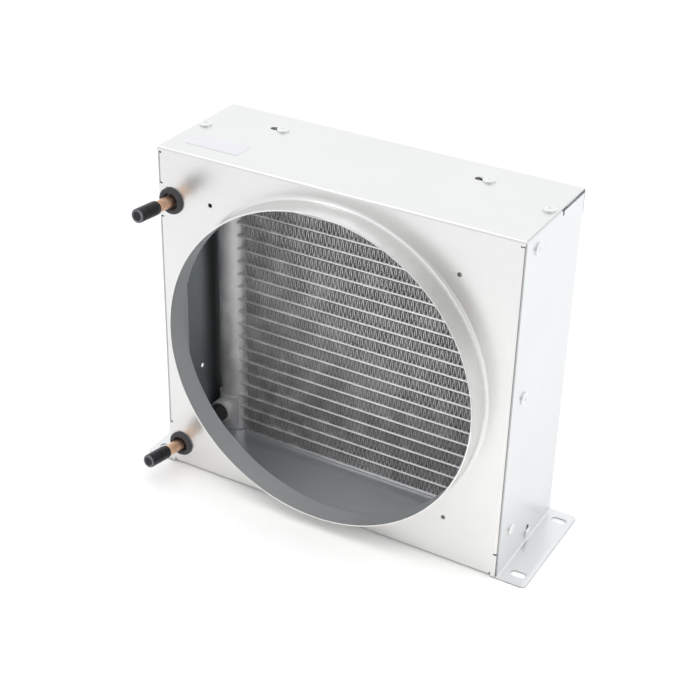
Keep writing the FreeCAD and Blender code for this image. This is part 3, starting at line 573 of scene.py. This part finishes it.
class StudioSettings(bpy.types.PropertyGroup):
    azimuth: FloatProperty(name="Azimuth", description="Camera's turn to the right of the front",
                           subtype="ANGLE", default=math.radians(29.02))
    elevation: FloatProperty(name="Elevation", description="Camera's height as an angle",
                             subtype="ANGLE", default=math.radians(30.47))
    roll: FloatProperty(name="Roll", description="Camera's roll", subtype="ANGLE",
                        default=math.radians(1.55))
    distance: FloatProperty(name="Distance", description="From the target to the camera",
                            unit="LENGTH", default=0.94899)
    target: FloatVectorProperty(name="Target", description="What the camera looks at",
                                subtype="XYZ", default=(16.43 * MM, -45 * MM, 138.19 * MM))
    lens: FloatProperty(name="Lens", description="Focal length on a 36 mm sensor", default=76.46)
    floor: FloatVectorProperty(name="Floor", description="Colour of the floor", subtype="COLOR",
                               default=(0.93, 0.93, 0.93))
    sky: FloatProperty(name="Sky", description="Strength of the even light", default=1.16)
    walls: FloatVectorProperty(name="Walls", description="Even light from all sides",
                               subtype="COLOR", default=(0.97, 0.98, 1.0))
    room: FloatVectorProperty(name="Room", description="Dimmer light from low in front",
                              subtype="COLOR", default=(0.40, 0.39, 0.365))


class CondenserSettings(bpy.types.PropertyGroup):
    sheet: PointerProperty(type=SheetSettings, name="Sheet", description="Casing sheet")
    coil: PointerProperty(type=CoilSettings, name="Coil", description="Tubes, fins and headers")
    pipe: PointerProperty(type=PipeSettings, name="Pipes", description="Copper tubes")
    label: PointerProperty(type=LabelSettings, name="Label", description="Bare label")
    studio: PointerProperty(type=StudioSettings, name="Studio", description="Camera and lights")


def zinc(name, colour, rolling, roughness):
    """Zinc-coated sheet in a colour, clouded with a slightly darker one."""
    cloud_tone = 0.95
    return material(name, galvanised, light=tuple(colour), dark=toned(colour, cloud_tone),
                    rolling=rolling, roughness=roughness)


def aluminium(coil, kind):
    """Brazed aluminium for one kind of piece."""
    # the kind's tone lifts both colours of the aluminium: painted light
    tone, roughness, metallic = ALUMINIUM[kind]
    return material(f"{kind}_aluminium", brazed_aluminium, light=toned(coil.light, tone),
                    dark=toned(coil.dark, tone), roughness=roughness, metallic=metallic)


# Pieces

class CONDENSER_OT_casing(bpy.types.Operator):
    """Zinc-coated shroud, side panels and floor panel with smooth folds"""
    bl_idname = "condenser.casing"
    bl_label = "Casing"

    def execute(self, context):
        sheet = context.scene.condenser.sheet
        dull, painted_shade_tone = sheet.roughness, 0.24
        # The two zinc tones differ after how the light falls on front and sides: painted light.
        across = zinc("zinc_rolled_across", sheet.front, ROLLED_ACROSS, dull)
        upright = zinc("zinc_rolled_upright", sheet.side, ROLLED_UPRIGHT, dull)
        # Faces inside the shroud and floor take the cooler, lighter copy of the zinc: painted light.
        inside = zinc("zinc_inside", sheet.inside, ROLLED_ACROSS, dull)
        cut = material("sheared_steel", sheared_steel, colour=tuple(sheet.sheared))
        # The side panels' inner faces are painted shade: dark zinc, darker still beside the header by
        # the painted shade tone.
        wall = material("zinc_wall", zinc_wall, front=tuple(sheet.wall),
                        gap=toned(sheet.wall, painted_shade_tone), roughness=dull)
        for node in ("fan_shroud", "floor_panel"):
            smooth_copy(node, across, (cut, inside))
        for side in SIDES:
            smooth_copy(f"{side}_side_panel", upright, (cut, wall))
        return {"FINISHED"}


def tube_section(half_depth, half_high, steps=6):
    """A flat tube's outline in Y and Z: two half circles joined by flats."""
    angle = np.linspace(-np.pi / 2, np.pi / 2, steps + 1)
    back = np.stack([half_depth - half_high + half_high * np.cos(angle),
                     half_high * np.sin(angle)], axis=-1)
    return np.concatenate([back, -back])


def tube_heights(coil):
    """The height of each tube's middle."""
    low = TUBES_LOW[2] + coil.tube_thickness / 2
    high = TUBES_HIGH[2] - coil.tube_thickness / 2
    return np.linspace(low, high, coil.tube_count)


def at_heights(heights):
    """Offsets straight up, one for each height."""
    return np.stack([np.zeros_like(heights), np.zeros_like(heights), heights], axis=-1)


class CONDENSER_OT_flat_tubes(bpy.types.Operator):
    """Flat tubes with round noses, from header to header"""
    bl_idname = "condenser.flat_tubes"
    bl_label = "Flat tubes"

    def execute(self, context):
        coil = context.scene.condenser.coil
        section = tube_section((TUBES_HIGH[1] - TUBES_LOW[1]) / 2, coil.tube_thickness / 2)
        across = np.array([TUBES_LOW[0], TUBES_LOW[0], TUBES_HIGH[0], TUBES_HIGH[0]])
        shrink = np.array([0.0, 1.0, 1.0, 0.0])
        points = np.empty((len(across), len(section), 3))
        points[:, :, 0] = across[:, None]
        points[:, :, 1] = COIL_Y + section[None, :, 0] * shrink[:, None]
        points[:, :, 2] = section[None, :, 1] * shrink[:, None]
        surface = copies(grid(points, wrap_columns=True), at_heights(tube_heights(coil)))
        add_surface("flat_tubes_finish", surface, aluminium(coil, "tube"),
                    ["flat_tubes"])
        return {"FINISHED"}


def fold_wave(coil, height):
    """The fin's folds in X and Z, each fold with blunt crests and steep walls:
    z = height / 2 * atan(k cos 2 pi t) / atan(k), x = t * fold run, t in folds. Each half fold
    has a point on its crest and one at either end of its wall."""
    steepness = 3.0
    crest, wall_start, wall_end = 0.0, 0.09, 0.41
    half_folds = np.arange(2 * coil.folds) / 2
    shares = half_folds[:, None] + np.array([crest, wall_start, wall_end])
    share = np.append(shares.ravel(), coil.folds)
    run = (FINS_HIGH[0] - FINS_LOW[0]) / coil.folds
    wave = np.arctan(steepness * np.cos(2 * np.pi * share)) / np.arctan(steepness)
    on_wall = np.append(np.tile([0.0, 1.0, 1.0], len(half_folds)), 0.0)
    return FINS_LOW[0] + share * run, height / 2 * wave, on_wall


def louvre_lines(coil):
    """Places across the depth, and how far the wall leans out there: a saw's teeth, which lean
    one way in the front half and the other way in the back half."""
    depth = FINS_HIGH[1] - FINS_LOW[1]
    lead, middle, notch, ramp = 0.15, 0.06, 0.02, 0.004
    bank = (1 - 2 * lead - middle) / 2
    tooth = bank / coil.louvres if coil.louvres else bank
    places, leans = [0.0, lead], [0.0, 0.0]
    for start, sign in ((lead, 1), (lead + bank + middle, -1)):
        for number in range(coil.louvres):
            places += [start + number * tooth + notch * tooth, start + (number + 1) * tooth]
            leans += [sign, -sign]
        places += [start + bank + ramp]
        leans += [0.0]
    places += [1.0]
    leans += [0.0]
    return FINS_LOW[1] + depth * np.array(places), coil.louvre_lean * np.array(leans)


def fin_row(coil, height):
    """One folded strip: the wave carried from front to back, with both faces half a sheet
    from its middle, and leaning louvres pressed into the walls."""
    x, z, on_wall = fold_wave(coil, height - coil.fin_sheet)
    y, lean = louvre_lines(coil)
    slope = np.stack([np.gradient(x), np.gradient(z)], axis=-1)
    slope /= np.linalg.norm(slope, axis=1)[:, None]
    normal = np.stack([-slope[:, 1], slope[:, 0]], axis=-1) * coil.fin_sheet / 2
    faces = []
    for side in (1, -1):
        points = np.empty((len(y), len(x), 3))
        points[:, :, 0] = x + side * normal[:, 0] + lean[:, None] * on_wall[None, :]
        points[:, :, 1] = y[:, None]
        points[:, :, 2] = z + side * normal[:, 1]
        faces.append(points)
    shell = np.concatenate([faces[0], faces[1][::-1]], axis=0)
    points, quads = grid(shell, wrap_rows=True)
    rows = len(shell)
    columns = len(x)
    ends = []
    for column in (0, columns - 1):
        top = np.arange(len(y)) * columns + column
        under = (rows - 1 - np.arange(len(y))) * columns + column
        strip = np.stack([top[:-1], top[1:], under[1:], under[:-1]], axis=-1)
        ends.append(strip if column == 0 else strip[:, ::-1])
    return points, np.concatenate([quads] + ends)


class CONDENSER_OT_fins(bpy.types.Operator):
    """Folded louvred fin rows between the tubes"""
    bl_idname = "condenser.fins"
    bl_label = "Fin rows"

    def execute(self, context):
        coil = context.scene.condenser.coil
        rows, packs = coil.tube_count + 1, 4
        pitch = (TUBES_HIGH[2] - TUBES_LOW[2] - coil.tube_thickness) / (coil.tube_count - 1)
        height = FINS_HIGH[2] - FINS_LOW[2] - pitch * (rows - 1)
        row = fin_row(coil, height)
        middles = FINS_LOW[2] + height / 2 + pitch * np.arange(rows)
        finish = aluminium(coil, "fin")
        for number, heights in enumerate(np.array_split(middles, packs), start=1):
            add_surface(f"fin_pack_{number}", copies(row, at_heights(heights)), finish,
                        ["fin_rows"], sharp=30.0, closed=False)
        return {"FINISHED"}


class CONDENSER_OT_headers(bpy.types.Operator):
    """Round headers closed by their end caps, with a brazed root round every tube"""
    bl_idname = "condenser.headers"
    bl_label = "Headers"

    def execute(self, context):
        coil = context.scene.condenser.coil
        finish = aluminium(coil, "header")
        edge, seam = 0.5 * MM, 0.12 * MM
        for side, sign in SIDES.items():
            low, high = corners(f"{side}_header")
            bottom, top = (corner[2] for corner in corners(f"{side}_header_caps"))
            x, y = ((low + high) / 2)[:2]
            radius = (high[0] - low[0]) / 2
            profile = rounded([
                (bottom, 0, 0), (bottom, radius, edge), (low[2] - seam, radius, 0),
                (low[2], radius - seam, 0), (low[2] + seam, radius, 0),
                (high[2] - seam, radius, 0), (high[2], radius - seam, 0),
                (high[2] + seam, radius, 0), (top, radius, edge), (top, 0, 0)])
            drum = turned_shell(profile, steps=72, origin=(x, y, 0), along=(0, 0, 1), hollow=False)
            add_surface(f"{side}_header_finish", drum, finish,
                        [f"{side}_header", f"{side}_header_caps"])
            roots = copies(tube_root(coil, x, radius, sign), at_heights(tube_heights(coil)))
            add_surface(f"{side}_tube_roots", roots, finish, [], sharp=60.0)
        return {"FINISHED"}


def tube_root(coil, header_x, header_radius, sign):
    """The brazed root of a tube: its section grows towards the header as flare * (1 - s) ** 2.2,
    with s from 0 in the header's skin to 1 on the tube. It starts on the header's round."""
    stations, fall = 9, 2.2
    skin, inset, side_flare = 0.03 * MM, 0.8 * MM, 0.3 * MM
    half_depth = (TUBES_HIGH[1] - TUBES_LOW[1]) / 2 + skin
    half_high = coil.tube_thickness / 2 + skin
    share = np.linspace(0, 1, stations)
    section = np.array([tube_section(half_depth + side_flare * grow,
                                     half_high + coil.root_flare * grow, steps=8)
                        for grow in (1 - share) ** fall])
    on_round = np.sqrt(np.maximum((header_radius - inset) ** 2 - section[0, :, 0] ** 2, 0))
    start = header_x - sign * on_round
    finish = header_x - sign * (header_radius + coil.root_reach)
    points = np.empty((*section.shape[:2], 3))
    points[:, :, 0] = start * (1 - share[:, None]) + finish * share[:, None]
    points[:, :, 1] = COIL_Y + section[:, :, 0]
    points[:, :, 2] = section[:, :, 1]
    closings = points[[0, -1]]
    closings[:, :, 1:] = COIL_Y, 0
    return grid(np.concatenate([closings[:1], points, closings[1:]]), wrap_columns=True)


class CONDENSER_OT_side_plates(bpy.types.Operator):
    """Side plates above and below the fins, with a bead along the edge and stepped ends"""
    bl_idname = "condenser.side_plates"
    bl_label = "Side plates"

    def execute(self, context):
        coil = context.scene.condenser.coil
        for node, sign in (("bottom_side_plate", 1), ("top_side_plate", -1)):
            surface = side_plate(*corners(node), sign * coil.plate_rise)
            add_surface(f"{node}_finish", surface, aluminium(coil, "tube"),
                        [node])
        return {"FINISHED"}


def side_plate(low, high, rise):
    """An outline with two beads at each long edge, carried along X, stepped towards the fins
    at the ends by rise, and narrowed there into the hollow beside the header."""
    round_off, groove, neck = 0.35 * MM, 0.45 * MM, 0.55
    (y0, z0), (y1, z1) = low[1:], high[1:]
    middle = (z0 + z1) / 2
    outline = rounded([
        (y0, z0, round_off), (y1, z0, round_off), (y1, middle - groove / 2, round_off / 2),
        (y1 - groove, middle, 0), (y1, middle + groove / 2, round_off / 2), (y1, z1, round_off),
        (y0, z1, round_off), (y0, middle + groove / 2, round_off / 2), (y0 + groove, middle, 0),
        (y0, middle - groove / 2, round_off / 2)], steps=3)
    from_end = np.array([0.0, 0.0, 2.0, 3.4, 5.6]) * MM
    stepped = np.array([1.0, 1.0, 1.0, 1.0, 0.0])
    shrink = np.array([0.0, 1.0, 1.0, 1.0, 1.0])
    stations = np.concatenate([from_end - high[0], (high[0] - from_end)[::-1]])
    stepped, shrink = (np.concatenate([half, half[::-1]]) for half in (stepped, shrink))
    width = shrink * np.where(stepped > 0, neck, 1.0)
    centre = (y0 + y1) / 2
    points = np.empty((len(stations), len(outline), 3))
    points[:, :, 0] = stations[:, None]
    points[:, :, 1] = centre + (outline[None, :, 0] - centre) * width[:, None]
    points[:, :, 2] = middle + (outline[None, :, 1] - middle) * shrink[:, None]
    points[:, :, 2] += (stepped * rise)[:, None]
    return grid(points, wrap_columns=True)


class CONDENSER_OT_bosses(bpy.types.Operator):
    """Saddles and bosses that join the pipes to the left header"""
    bl_idname = "condenser.bosses"
    bl_label = "Bosses"

    def execute(self, context):
        finish = aluminium(context.scene.condenser.coil, "header")
        for level in LEVELS:
            smooth_copy(f"{level}_boss", finish)
        return {"FINISHED"}


def pull(level):
    """Where a cap's mouth is, and the direction in which it pulls off."""
    joint = PULLS[f"{level}_cap_body"]
    return np.array(joint["pos_m"]), np.array(joint["axis"])


def pipe_route(pipe, level):
    """The pipe's middle line in the plane of its bend, as Y and rise: level from the boss, an
    arc, then a straight slant. Each point has the angle of travel above level."""
    inner_run, arc_points, slant_shares = 12 * MM, 7, np.array([[0.3], [0.65], [1.0]])
    low, high = corners(f"{level}_pipe")
    tilt = math.acos(-pull(level)[1][1])
    bend_y = front_face() + pipe.bend_start
    angle = np.linspace(0, tilt, arc_points)
    arc = np.stack([bend_y - pipe.bend * np.sin(angle), pipe.bend * (1 - np.cos(angle))], axis=-1)
    slant_run = (arc[-1, 0] - low[1] - pipe.radius * math.sin(tilt)) / math.cos(tilt)
    inner = np.array([[high[1], 0], [high[1] - inner_run, 0]])
    slant = arc[-1] + np.array([-math.cos(tilt), math.sin(tilt)]) * slant_shares * slant_run
    angles = np.concatenate([[0, 0], angle, [tilt] * len(slant)])
    return np.concatenate([inner, arc, slant]), angles


def front_face():
    """Y of the front panel's face, from a grommet, whose middle lies in that of the sheet."""
    half_sheet = 0.5 * MM
    low, high = corners("upper_grommet")
    return (low[1] + high[1]) / 2 - half_sheet


class CONDENSER_OT_pipes(bpy.types.Operator):
    """Copper tubes from the bosses through the front panel, bent slightly upwards"""
    bl_idname = "condenser.pipes"
    bl_label = "Copper pipes"

    def execute(self, context):
        pipe = context.scene.condenser.pipe
        finish = material("drawn_copper", drawn_copper, light=tuple(pipe.light),
                          dark=tuple(pipe.dark))
        for level in LEVELS:
            line, angles = pipe_route(pipe, level)
            low, high = corners(f"{level}_grommet")
            bore = (low + high) / 2 * (1, 0, 1)
            add_surface(f"{level}_pipe_finish",
                        pipe_shell(line, angles, bore, bend_rise(level), pipe), finish,
                        [f"{level}_pipe"])
        return {"FINISHED"}


def bend_rise(level):
    """The direction in which a pipe rises in its bend: upwards, leaning to the left."""
    rise = pull(level)[1] * (1, 0, 1)
    return rise / np.linalg.norm(rise)


def pipe_shell(line, angles, bore, rise, pipe):
    """A round section carried along the line outside, and back along it inside:
    ring = line + radius * (cos a across + sin a square), square = cos angle rise + sin angle Y."""
    steps, edge = 40, 0.15 * MM
    turn = np.linspace(0, 2 * np.pi, steps, endpoint=False)
    radii = np.full(len(line), pipe.radius)
    radii[[0, -1]] = pipe.radius - edge
    order = np.concatenate([np.arange(len(line)), np.arange(len(line))[::-1]])
    ring_radius = np.concatenate([radii, np.full(len(line), pipe.radius - pipe.wall)])
    back = np.array([0.0, 1.0, 0.0])
    across = np.cross(back, rise)
    square = np.cos(angles)[:, None] * rise + np.sin(angles)[:, None] * back
    middle = bore + line[:, :1] * back + line[:, 1:] * rise
    ring = np.cos(turn)[None, :, None] * across + np.sin(turn)[None, :, None] * square[order][:, None]
    points = middle[order][:, None] + ring_radius[:, None, None] * ring
    return grid(points, wrap_rows=True, wrap_columns=True)


class CONDENSER_OT_sleeves(bpy.types.Operator):
    """Shrunk sleeves over the joints of pipes and bosses"""
    bl_idname = "condenser.sleeves"
    bl_label = "Sleeves"

    def execute(self, context):
        finish = material("shrunk_sleeve", black_plastic, colour=(0.012, 0.012, 0.013),
                          bloom=(0.022, 0.022, 0.023), roughness=0.36, grain=0.06 * MM)
        slim, bore, wall = 5.0 * MM, 4.12 * MM, 0.85 * MM
        wide_run, slim_start = 11.4 * MM, 16.6 * MM
        for level in LEVELS:
            low, high = corners(f"{level}_sleeve")
            x, _, z = (low + high) / 2
            outer, length = (high[2] - low[2]) / 2, high[1] - low[1]
            profile = rounded([
                (0, outer - wall, 0.2 * MM), (0, outer, 0.5 * MM),
                (wide_run, outer, 1.6 * MM), (slim_start, slim, 2.0 * MM),
                (length, slim - 0.1 * MM, 0.35 * MM), (length, bore, 0.2 * MM),
                (slim_start, bore, 1.0 * MM), (wide_run + 0.5 * MM, outer - wall, 1.0 * MM)], steps=4)
            shell = turned_shell(profile, steps=48, origin=(x, high[1], z), along=(0, -1, 0))
            add_surface(f"{level}_sleeve_finish", shell, finish,
                        [f"{level}_sleeve"])
        return {"FINISHED"}


class CONDENSER_OT_grommets(bpy.types.Operator):
    """Rubber grommets with a crowned flange on each face of the front panel"""
    bl_idname = "condenser.grommets"
    bl_label = "Grommets"

    def execute(self, context):
        finish = material("grommet_rubber", black_plastic, colour=(0.026, 0.025, 0.027),
                          bloom=(0.045, 0.043, 0.046), roughness=0.26, grain=0.04 * MM, coat=0.5)
        bore, waist, slot = 5.6 * MM, 7.15 * MM, 1.1 * MM
        crown, lip, mouth, shoulder = 0.62, 0.35 * MM, 0.9 * MM, 0.25 * MM
        for level in LEVELS:
            low, high = corners(f"{level}_grommet")
            x, _, z = (low + high) / 2
            outer, length = (high[2] - low[2]) / 2, high[1] - low[1]
            flange = (length - slot) / 2
            half = [(mouth, bore, 0.5 * MM), (0, bore + mouth, 0.5 * MM),
                    (shoulder, outer - 1.1 * MM, 0.9 * MM), (flange * crown, outer, 0.8 * MM),
                    (flange, outer - lip, 0.2 * MM), (flange, waist, 0)]
            other = [(length - along, radius, edge) for along, radius, edge in reversed(half)]
            profile = rounded(half + other, steps=4)
            ring = turned_shell(profile, steps=64, origin=(x, low[1], z), along=(0, 1, 0))
            add_surface(f"{level}_grommet_finish", ring, finish,
                        [f"{level}_grommet"], sharp=50.0)
        return {"FINISHED"}


class CONDENSER_OT_caps(bpy.types.Operator):
    """Soft transport caps on the pipe ends, with a dished face"""
    bl_idname = "condenser.caps"
    bl_label = "Transport caps"

    def execute(self, context):
        # The cap's paler rim colour is a painted sheen on its end.
        finish = material("soft_cap", soft_vinyl, colour=(0.008, 0.008, 0.010),
                          bloom=(0.016, 0.015, 0.018), rubbed=(0.17, 0.163, 0.185))
        outer, bore, length = 4.9 * MM, 4.03 * MM, 19.5 * MM
        rim, dish, end = 3.3 * MM, 0.75 * MM, 1.6 * MM
        inner_end = length - dish - end
        profile = rounded([
            (0, bore, 0.2 * MM), (0, outer - 0.15 * MM, 0.45 * MM), (3.0 * MM, outer, 2.0 * MM),
            (length, outer - 0.1 * MM, 1.1 * MM), (length, rim, 0.35 * MM),
            (length - dish, rim - 0.45 * MM, 0.3 * MM), (length - dish * 0.8, 0, 0),
            (inner_end, 0, 0), (inner_end, bore, 0.4 * MM)], steps=5)
        for level in LEVELS:
            mouth, axis = pull(level)
            name = f"{level}_cap_finish"
            cap = turned_shell(profile, steps=56, origin=mouth, along=axis)
            mesh = mesh_from(name, cap, sharp=50.0)
            note_painted_sheen(mesh, mouth, axis, length, rim)
            add_piece(name, mesh, finish, [f"{level}_cap"], f"{level}_cap_body")
        return {"FINISHED"}


def note_painted_sheen(mesh, mouth, axis, length, rim):
    """Note on each point how much of the painted sheen it takes: 1 on the ring round the cap's end,
    falling to 0 within a millimetre along the cap, and within half a millimetre into the dish."""
    along_fade, dish_fade = 1 * MM, 0.5 * MM
    points = mesh_points(mesh) - mouth
    along = points @ axis
    radius = np.linalg.norm(points - along[:, None] * axis, axis=1)
    painted_sheen = (np.clip((along - length) / along_fade + 1, 0, 1)
            * np.clip((radius - rim) / dish_fade + 1, 0, 1))
    mesh.attributes.new("painted_sheen", "FLOAT", "POINT").data.foreach_set("value", painted_sheen)


def pan_screw(head_radius, head_height, shank_radius, length):
    """A pan head turned from the crown z = height * (1 - 0.42 (r / R) ** 3.4), with a cross
    pressed in, a ramp in the lesser of |x| and |y| times one in the greater; then rim and shank."""
    steps, rings, drop, power = 56, 15, 0.42, 3.4
    edge, point = 0.1 * MM, 0.8 * MM
    radius = np.linspace(0, head_radius, rings)
    crown = head_height * (1 - drop * (radius / head_radius) ** power)
    rim = [(head_height / 4, head_radius), (0.0, head_radius - edge), (0.0, shank_radius),
           (point - length, shank_radius), (-length, shank_radius / 2), (-length, 0.0)]
    profile = np.concatenate([np.stack([crown, radius], axis=-1), rim])
    points = turned(profile, steps)
    half_width, side_fade = 0.672 * MM, 0.42 * MM
    half_length, end_fade, sink = 2.1 * MM, 1.05 * MM, 1.1 * MM
    top = np.abs(points[:rings, :, :2])
    across = np.clip((half_width - top.min(axis=-1)) / side_fade, 0, 1)
    along = np.clip((half_length - top.max(axis=-1)) / end_fade, 0, 1)
    points[:rings, :, 2] -= sink * across * along
    return grid(points, wrap_columns=True)


class CONDENSER_OT_screws(bpy.types.Operator):
    """Pan head screws with a pressed cross"""
    bl_idname = "condenser.screws"
    bl_label = "Screws"

    def execute(self, context):
        finish = material("zinc_plate", zinc_plate, colour=(0.80, 0.81, 0.80))
        low, high = corners("top_edge_screws")
        head_radius, head_height = (high[1] - low[1]) / 2, high[2] - SHROUD_HIGH[2]
        shank_radius, floor_length = 2.0 * MM, 6 * MM
        first_turn, next_turn = 0.4, 0.9
        groups = {"left_side_screws": (-1, 0, 0), "right_side_screws": (1, 0, 0),
                  "floor_screws": None, "top_edge_screws": (0, 0, 1), "coil_screws": (0, 0, 1)}
        for node, way in groups.items():
            screws = []
            low, high = corners(node)
            for number, spot in enumerate(spots_of(node)):
                along = np.array(way or (math.copysign(1, spot[0]), 0, 0), dtype=float)
                axis = int(np.argmax(np.abs(along)))
                top = (high if along[axis] > 0 else low)[axis]
                seat = spot.copy()
                seat[axis] = top - along[axis] * head_height
                length = (high - low)[axis] - head_height if way else floor_length
                turn = first_turn + next_turn * number
                across = placed(np.array([[math.cos(turn), math.sin(turn), 0]]), (0, 0, 0), along,
                                (0, 1, 0) if axis == 0 else (1, 0, 0))[0]
                screw = pan_screw(head_radius, head_height, shank_radius, length)
                screws.append(place_surface(screw, seat, along, across))
            add_surface(f"{node}_finish", join(screws), finish, [node])
        return {"FINISHED"}


class CONDENSER_OT_label(bpy.types.Operator):
    """Bare label on the top panel, a thin film with round corners"""
    bl_idname = "condenser.label"
    bl_label = "Label"

    def execute(self, context):
        label = context.scene.condenser.label
        (x, y), (wide, deep) = label.corner, label.size
        corner, lift, film, edge, inner = 1.2 * MM, 0.02 * MM, 0.12 * MM, 0.03 * MM, 0.99
        outline = rounded([(x, y, corner), (x + wide, y, corner), (x + wide, y + deep, corner),
                           (x, y + deep, corner)], steps=6)
        centre = outline.mean(axis=0)
        levels = [(0.0, lift), (1.0, lift), (1.0, film), (inner, film + edge),
                  (0.0, film + edge)]
        points = np.array([[(*(centre + (spot - centre) * share), SHROUD_HIGH[2] + height)
                            for spot in outline] for share, height in levels])
        finish = material("label_film", label_film, colour=tuple(label.colour))
        add_surface("blank_label", grid(points, wrap_columns=True), finish, [])
        return {"FINISHED"}


class CONDENSER_OT_baffle(bpy.types.Operator):
    """Disc inside the left header, in the coil's finish"""
    bl_idname = "condenser.baffle"
    bl_label = "Header baffle"

    def execute(self, context):
        finish = aluminium(context.scene.condenser.coil, "header")
        smooth_copy("header_baffle", finish)
        return {"FINISHED"}


def camera_turn(studio):
    """Camera axes: back points from the target to the camera, then a roll about it."""
    azimuth, elevation, roll = studio.azimuth, studio.elevation, studio.roll
    back = Vector((math.sin(azimuth) * math.cos(elevation),
                   -math.cos(azimuth) * math.cos(elevation), math.sin(elevation)))
    right = Vector((0, 0, 1)).cross(back).normalized()
    up = back.cross(right)
    rolled = math.cos(roll) * right + math.sin(roll) * up
    above = -math.sin(roll) * right + math.cos(roll) * up
    return Matrix((rolled, above, back)).transposed(), back


def soft_light(name, spot, target, size, power, colour=(1, 1, 1), glint=False):
    """A soft light at a spot, aimed at the target. It lights the floor and what is dull, or,
    with a glint, is only seen in reflections."""
    lamp = bpy.data.lights.new(name, "AREA")
    lamp.shape = "RECTANGLE"
    lamp.size, lamp.size_y = size
    lamp.energy = power
    lamp.color = colour
    holder = bpy.data.objects.new(name, lamp)
    bpy.context.scene.collection.objects.link(holder)
    holder.location = spot
    holder.visible_glossy = glint
    holder.visible_diffuse = not glint
    holder.visible_camera = False
    holder.rotation_euler = (Vector(spot) - Vector(target)).to_track_quat("Z", "Y").to_euler()


def studio_sky(studio):
    """Even white light from all sides, dimmer low in front, where the room lies behind the camera:
    the room's share is a smooth step in -y, times one that falls with z and one that grows with x."""
    world = bpy.data.worlds.new("studio")
    world.use_nodes = True
    sky = Nodes(world.node_tree, "Background", "Generated")
    front = sky.smooth(sky.part("Y"), low=-0.8, high=-0.3, start=1.0, finish=0.0)
    below = sky.smooth(sky.part("Z"), low=0.42, high=0.68, start=1.0, finish=0.0)
    right = sky.smooth(sky.part("X"), low=-0.5, high=0.25, start=0.3, finish=1.0)
    sky.set("Color", sky.mix(front * below * right, tuple(studio.walls), tuple(studio.room)))
    sky.set("Strength", studio.sky)
    return world


class CONDENSER_OT_stage(bpy.types.Operator):
    """Pale floor, soft lights and the camera"""
    bl_idname = "condenser.stage"
    bl_label = "Stage"

    def execute(self, context):
        scene = context.scene
        studio = scene.condenser.studio
        reach, lines, sunk = 30.0, 9, 0.02 * MM
        share = np.linspace(-1, 1, lines)
        x, y = np.meshgrid(share * reach, share * reach)
        surface = grid(np.stack([x, y, np.full_like(x, -sunk)], axis=-1))
        mesh = mesh_from("floor", surface, closed=False)
        floor = bpy.data.objects.new("floor", mesh)
        mesh.materials.append(material("floor_paper", floor_paper, colour=tuple(studio.floor)))
        scene.collection.objects.link(floor)

        casing = (0, 0, 120 * MM)
        soft_light("key_light", spot=(1.3, 1.2, 2.2), target=casing, size=(1.6, 1.6), power=7.0,
                   colour=(0.97, 0.985, 1.0))
        soft_light("top_light", spot=(0.0, -0.2, 2.6), target=casing, size=(2.4, 2.0), power=9.0)
        soft_light("window_light", spot=(-1.05, -0.18, 2.4), target=casing, size=(0.5, 0.5),
                   power=3.5, glint=True)
        soft_light("strip_light", spot=(0.02, -0.16, 0.22), target=(0.02, -0.15, 0),
                   size=(0.3, 0.1), power=0.2, colour=(1.0, 0.965, 0.90))
        scene.world = studio_sky(studio)
        scene.view_settings.view_transform = "Standard"

        lens = bpy.data.cameras.new("camera")
        lens.lens = studio.lens
        lens.sensor_width = 36
        lens.clip_start = 0.01
        camera = bpy.data.objects.new("camera", lens)
        turn, back = camera_turn(studio)
        camera.matrix_world = Matrix.Translation(
            Vector(studio.target) + back * studio.distance) @ turn.to_4x4()
        scene.collection.objects.link(camera)
        scene.camera = camera
        return {"FINISHED"}


OPERATORS = (
    CONDENSER_OT_casing, CONDENSER_OT_flat_tubes, CONDENSER_OT_fins, CONDENSER_OT_headers,
    CONDENSER_OT_baffle, CONDENSER_OT_side_plates, CONDENSER_OT_bosses, CONDENSER_OT_pipes,
    CONDENSER_OT_sleeves, CONDENSER_OT_grommets, CONDENSER_OT_caps, CONDENSER_OT_screws,
    CONDENSER_OT_label, CONDENSER_OT_stage,
)


class CONDENSER_PT_panel(bpy.types.Panel):
    """Sizes, colours and buttons for the condenser"""
    bl_label = "Condenser"
    bl_idname = "CONDENSER_PT_panel"
    bl_space_type = "VIEW_3D"
    bl_region_type = "UI"
    bl_category = "Condenser"

    def draw(self, context):
        settings = context.scene.condenser
        for group in ("sheet", "coil", "pipe", "label", "studio"):
            values = getattr(settings, group)
            box = self.layout.box()
            box.label(text=group.capitalize())
            for name in values.__annotations__:
                box.prop(values, name)
        for piece in OPERATORS:
            self.layout.operator(piece.bl_idname)


CLASSES = (SheetSettings, CoilSettings, PipeSettings, LabelSettings, StudioSettings,
           CondenserSettings, *OPERATORS, CONDENSER_PT_panel)


def register():
    for item in CLASSES:
        bpy.utils.register_class(item)
    bpy.types.Scene.condenser = PointerProperty(type=CondenserSettings)


def unregister():
    del bpy.types.Scene.condenser
    for item in reversed(CLASSES):
        bpy.utils.unregister_class(item)


def main():
    """Register the classes, then build every piece in order."""
    register()
    for piece in OPERATORS:
        group, name = piece.bl_idname.split(".")
        getattr(getattr(bpy.ops, group), name)()


if __name__ == "__main__":
    main()
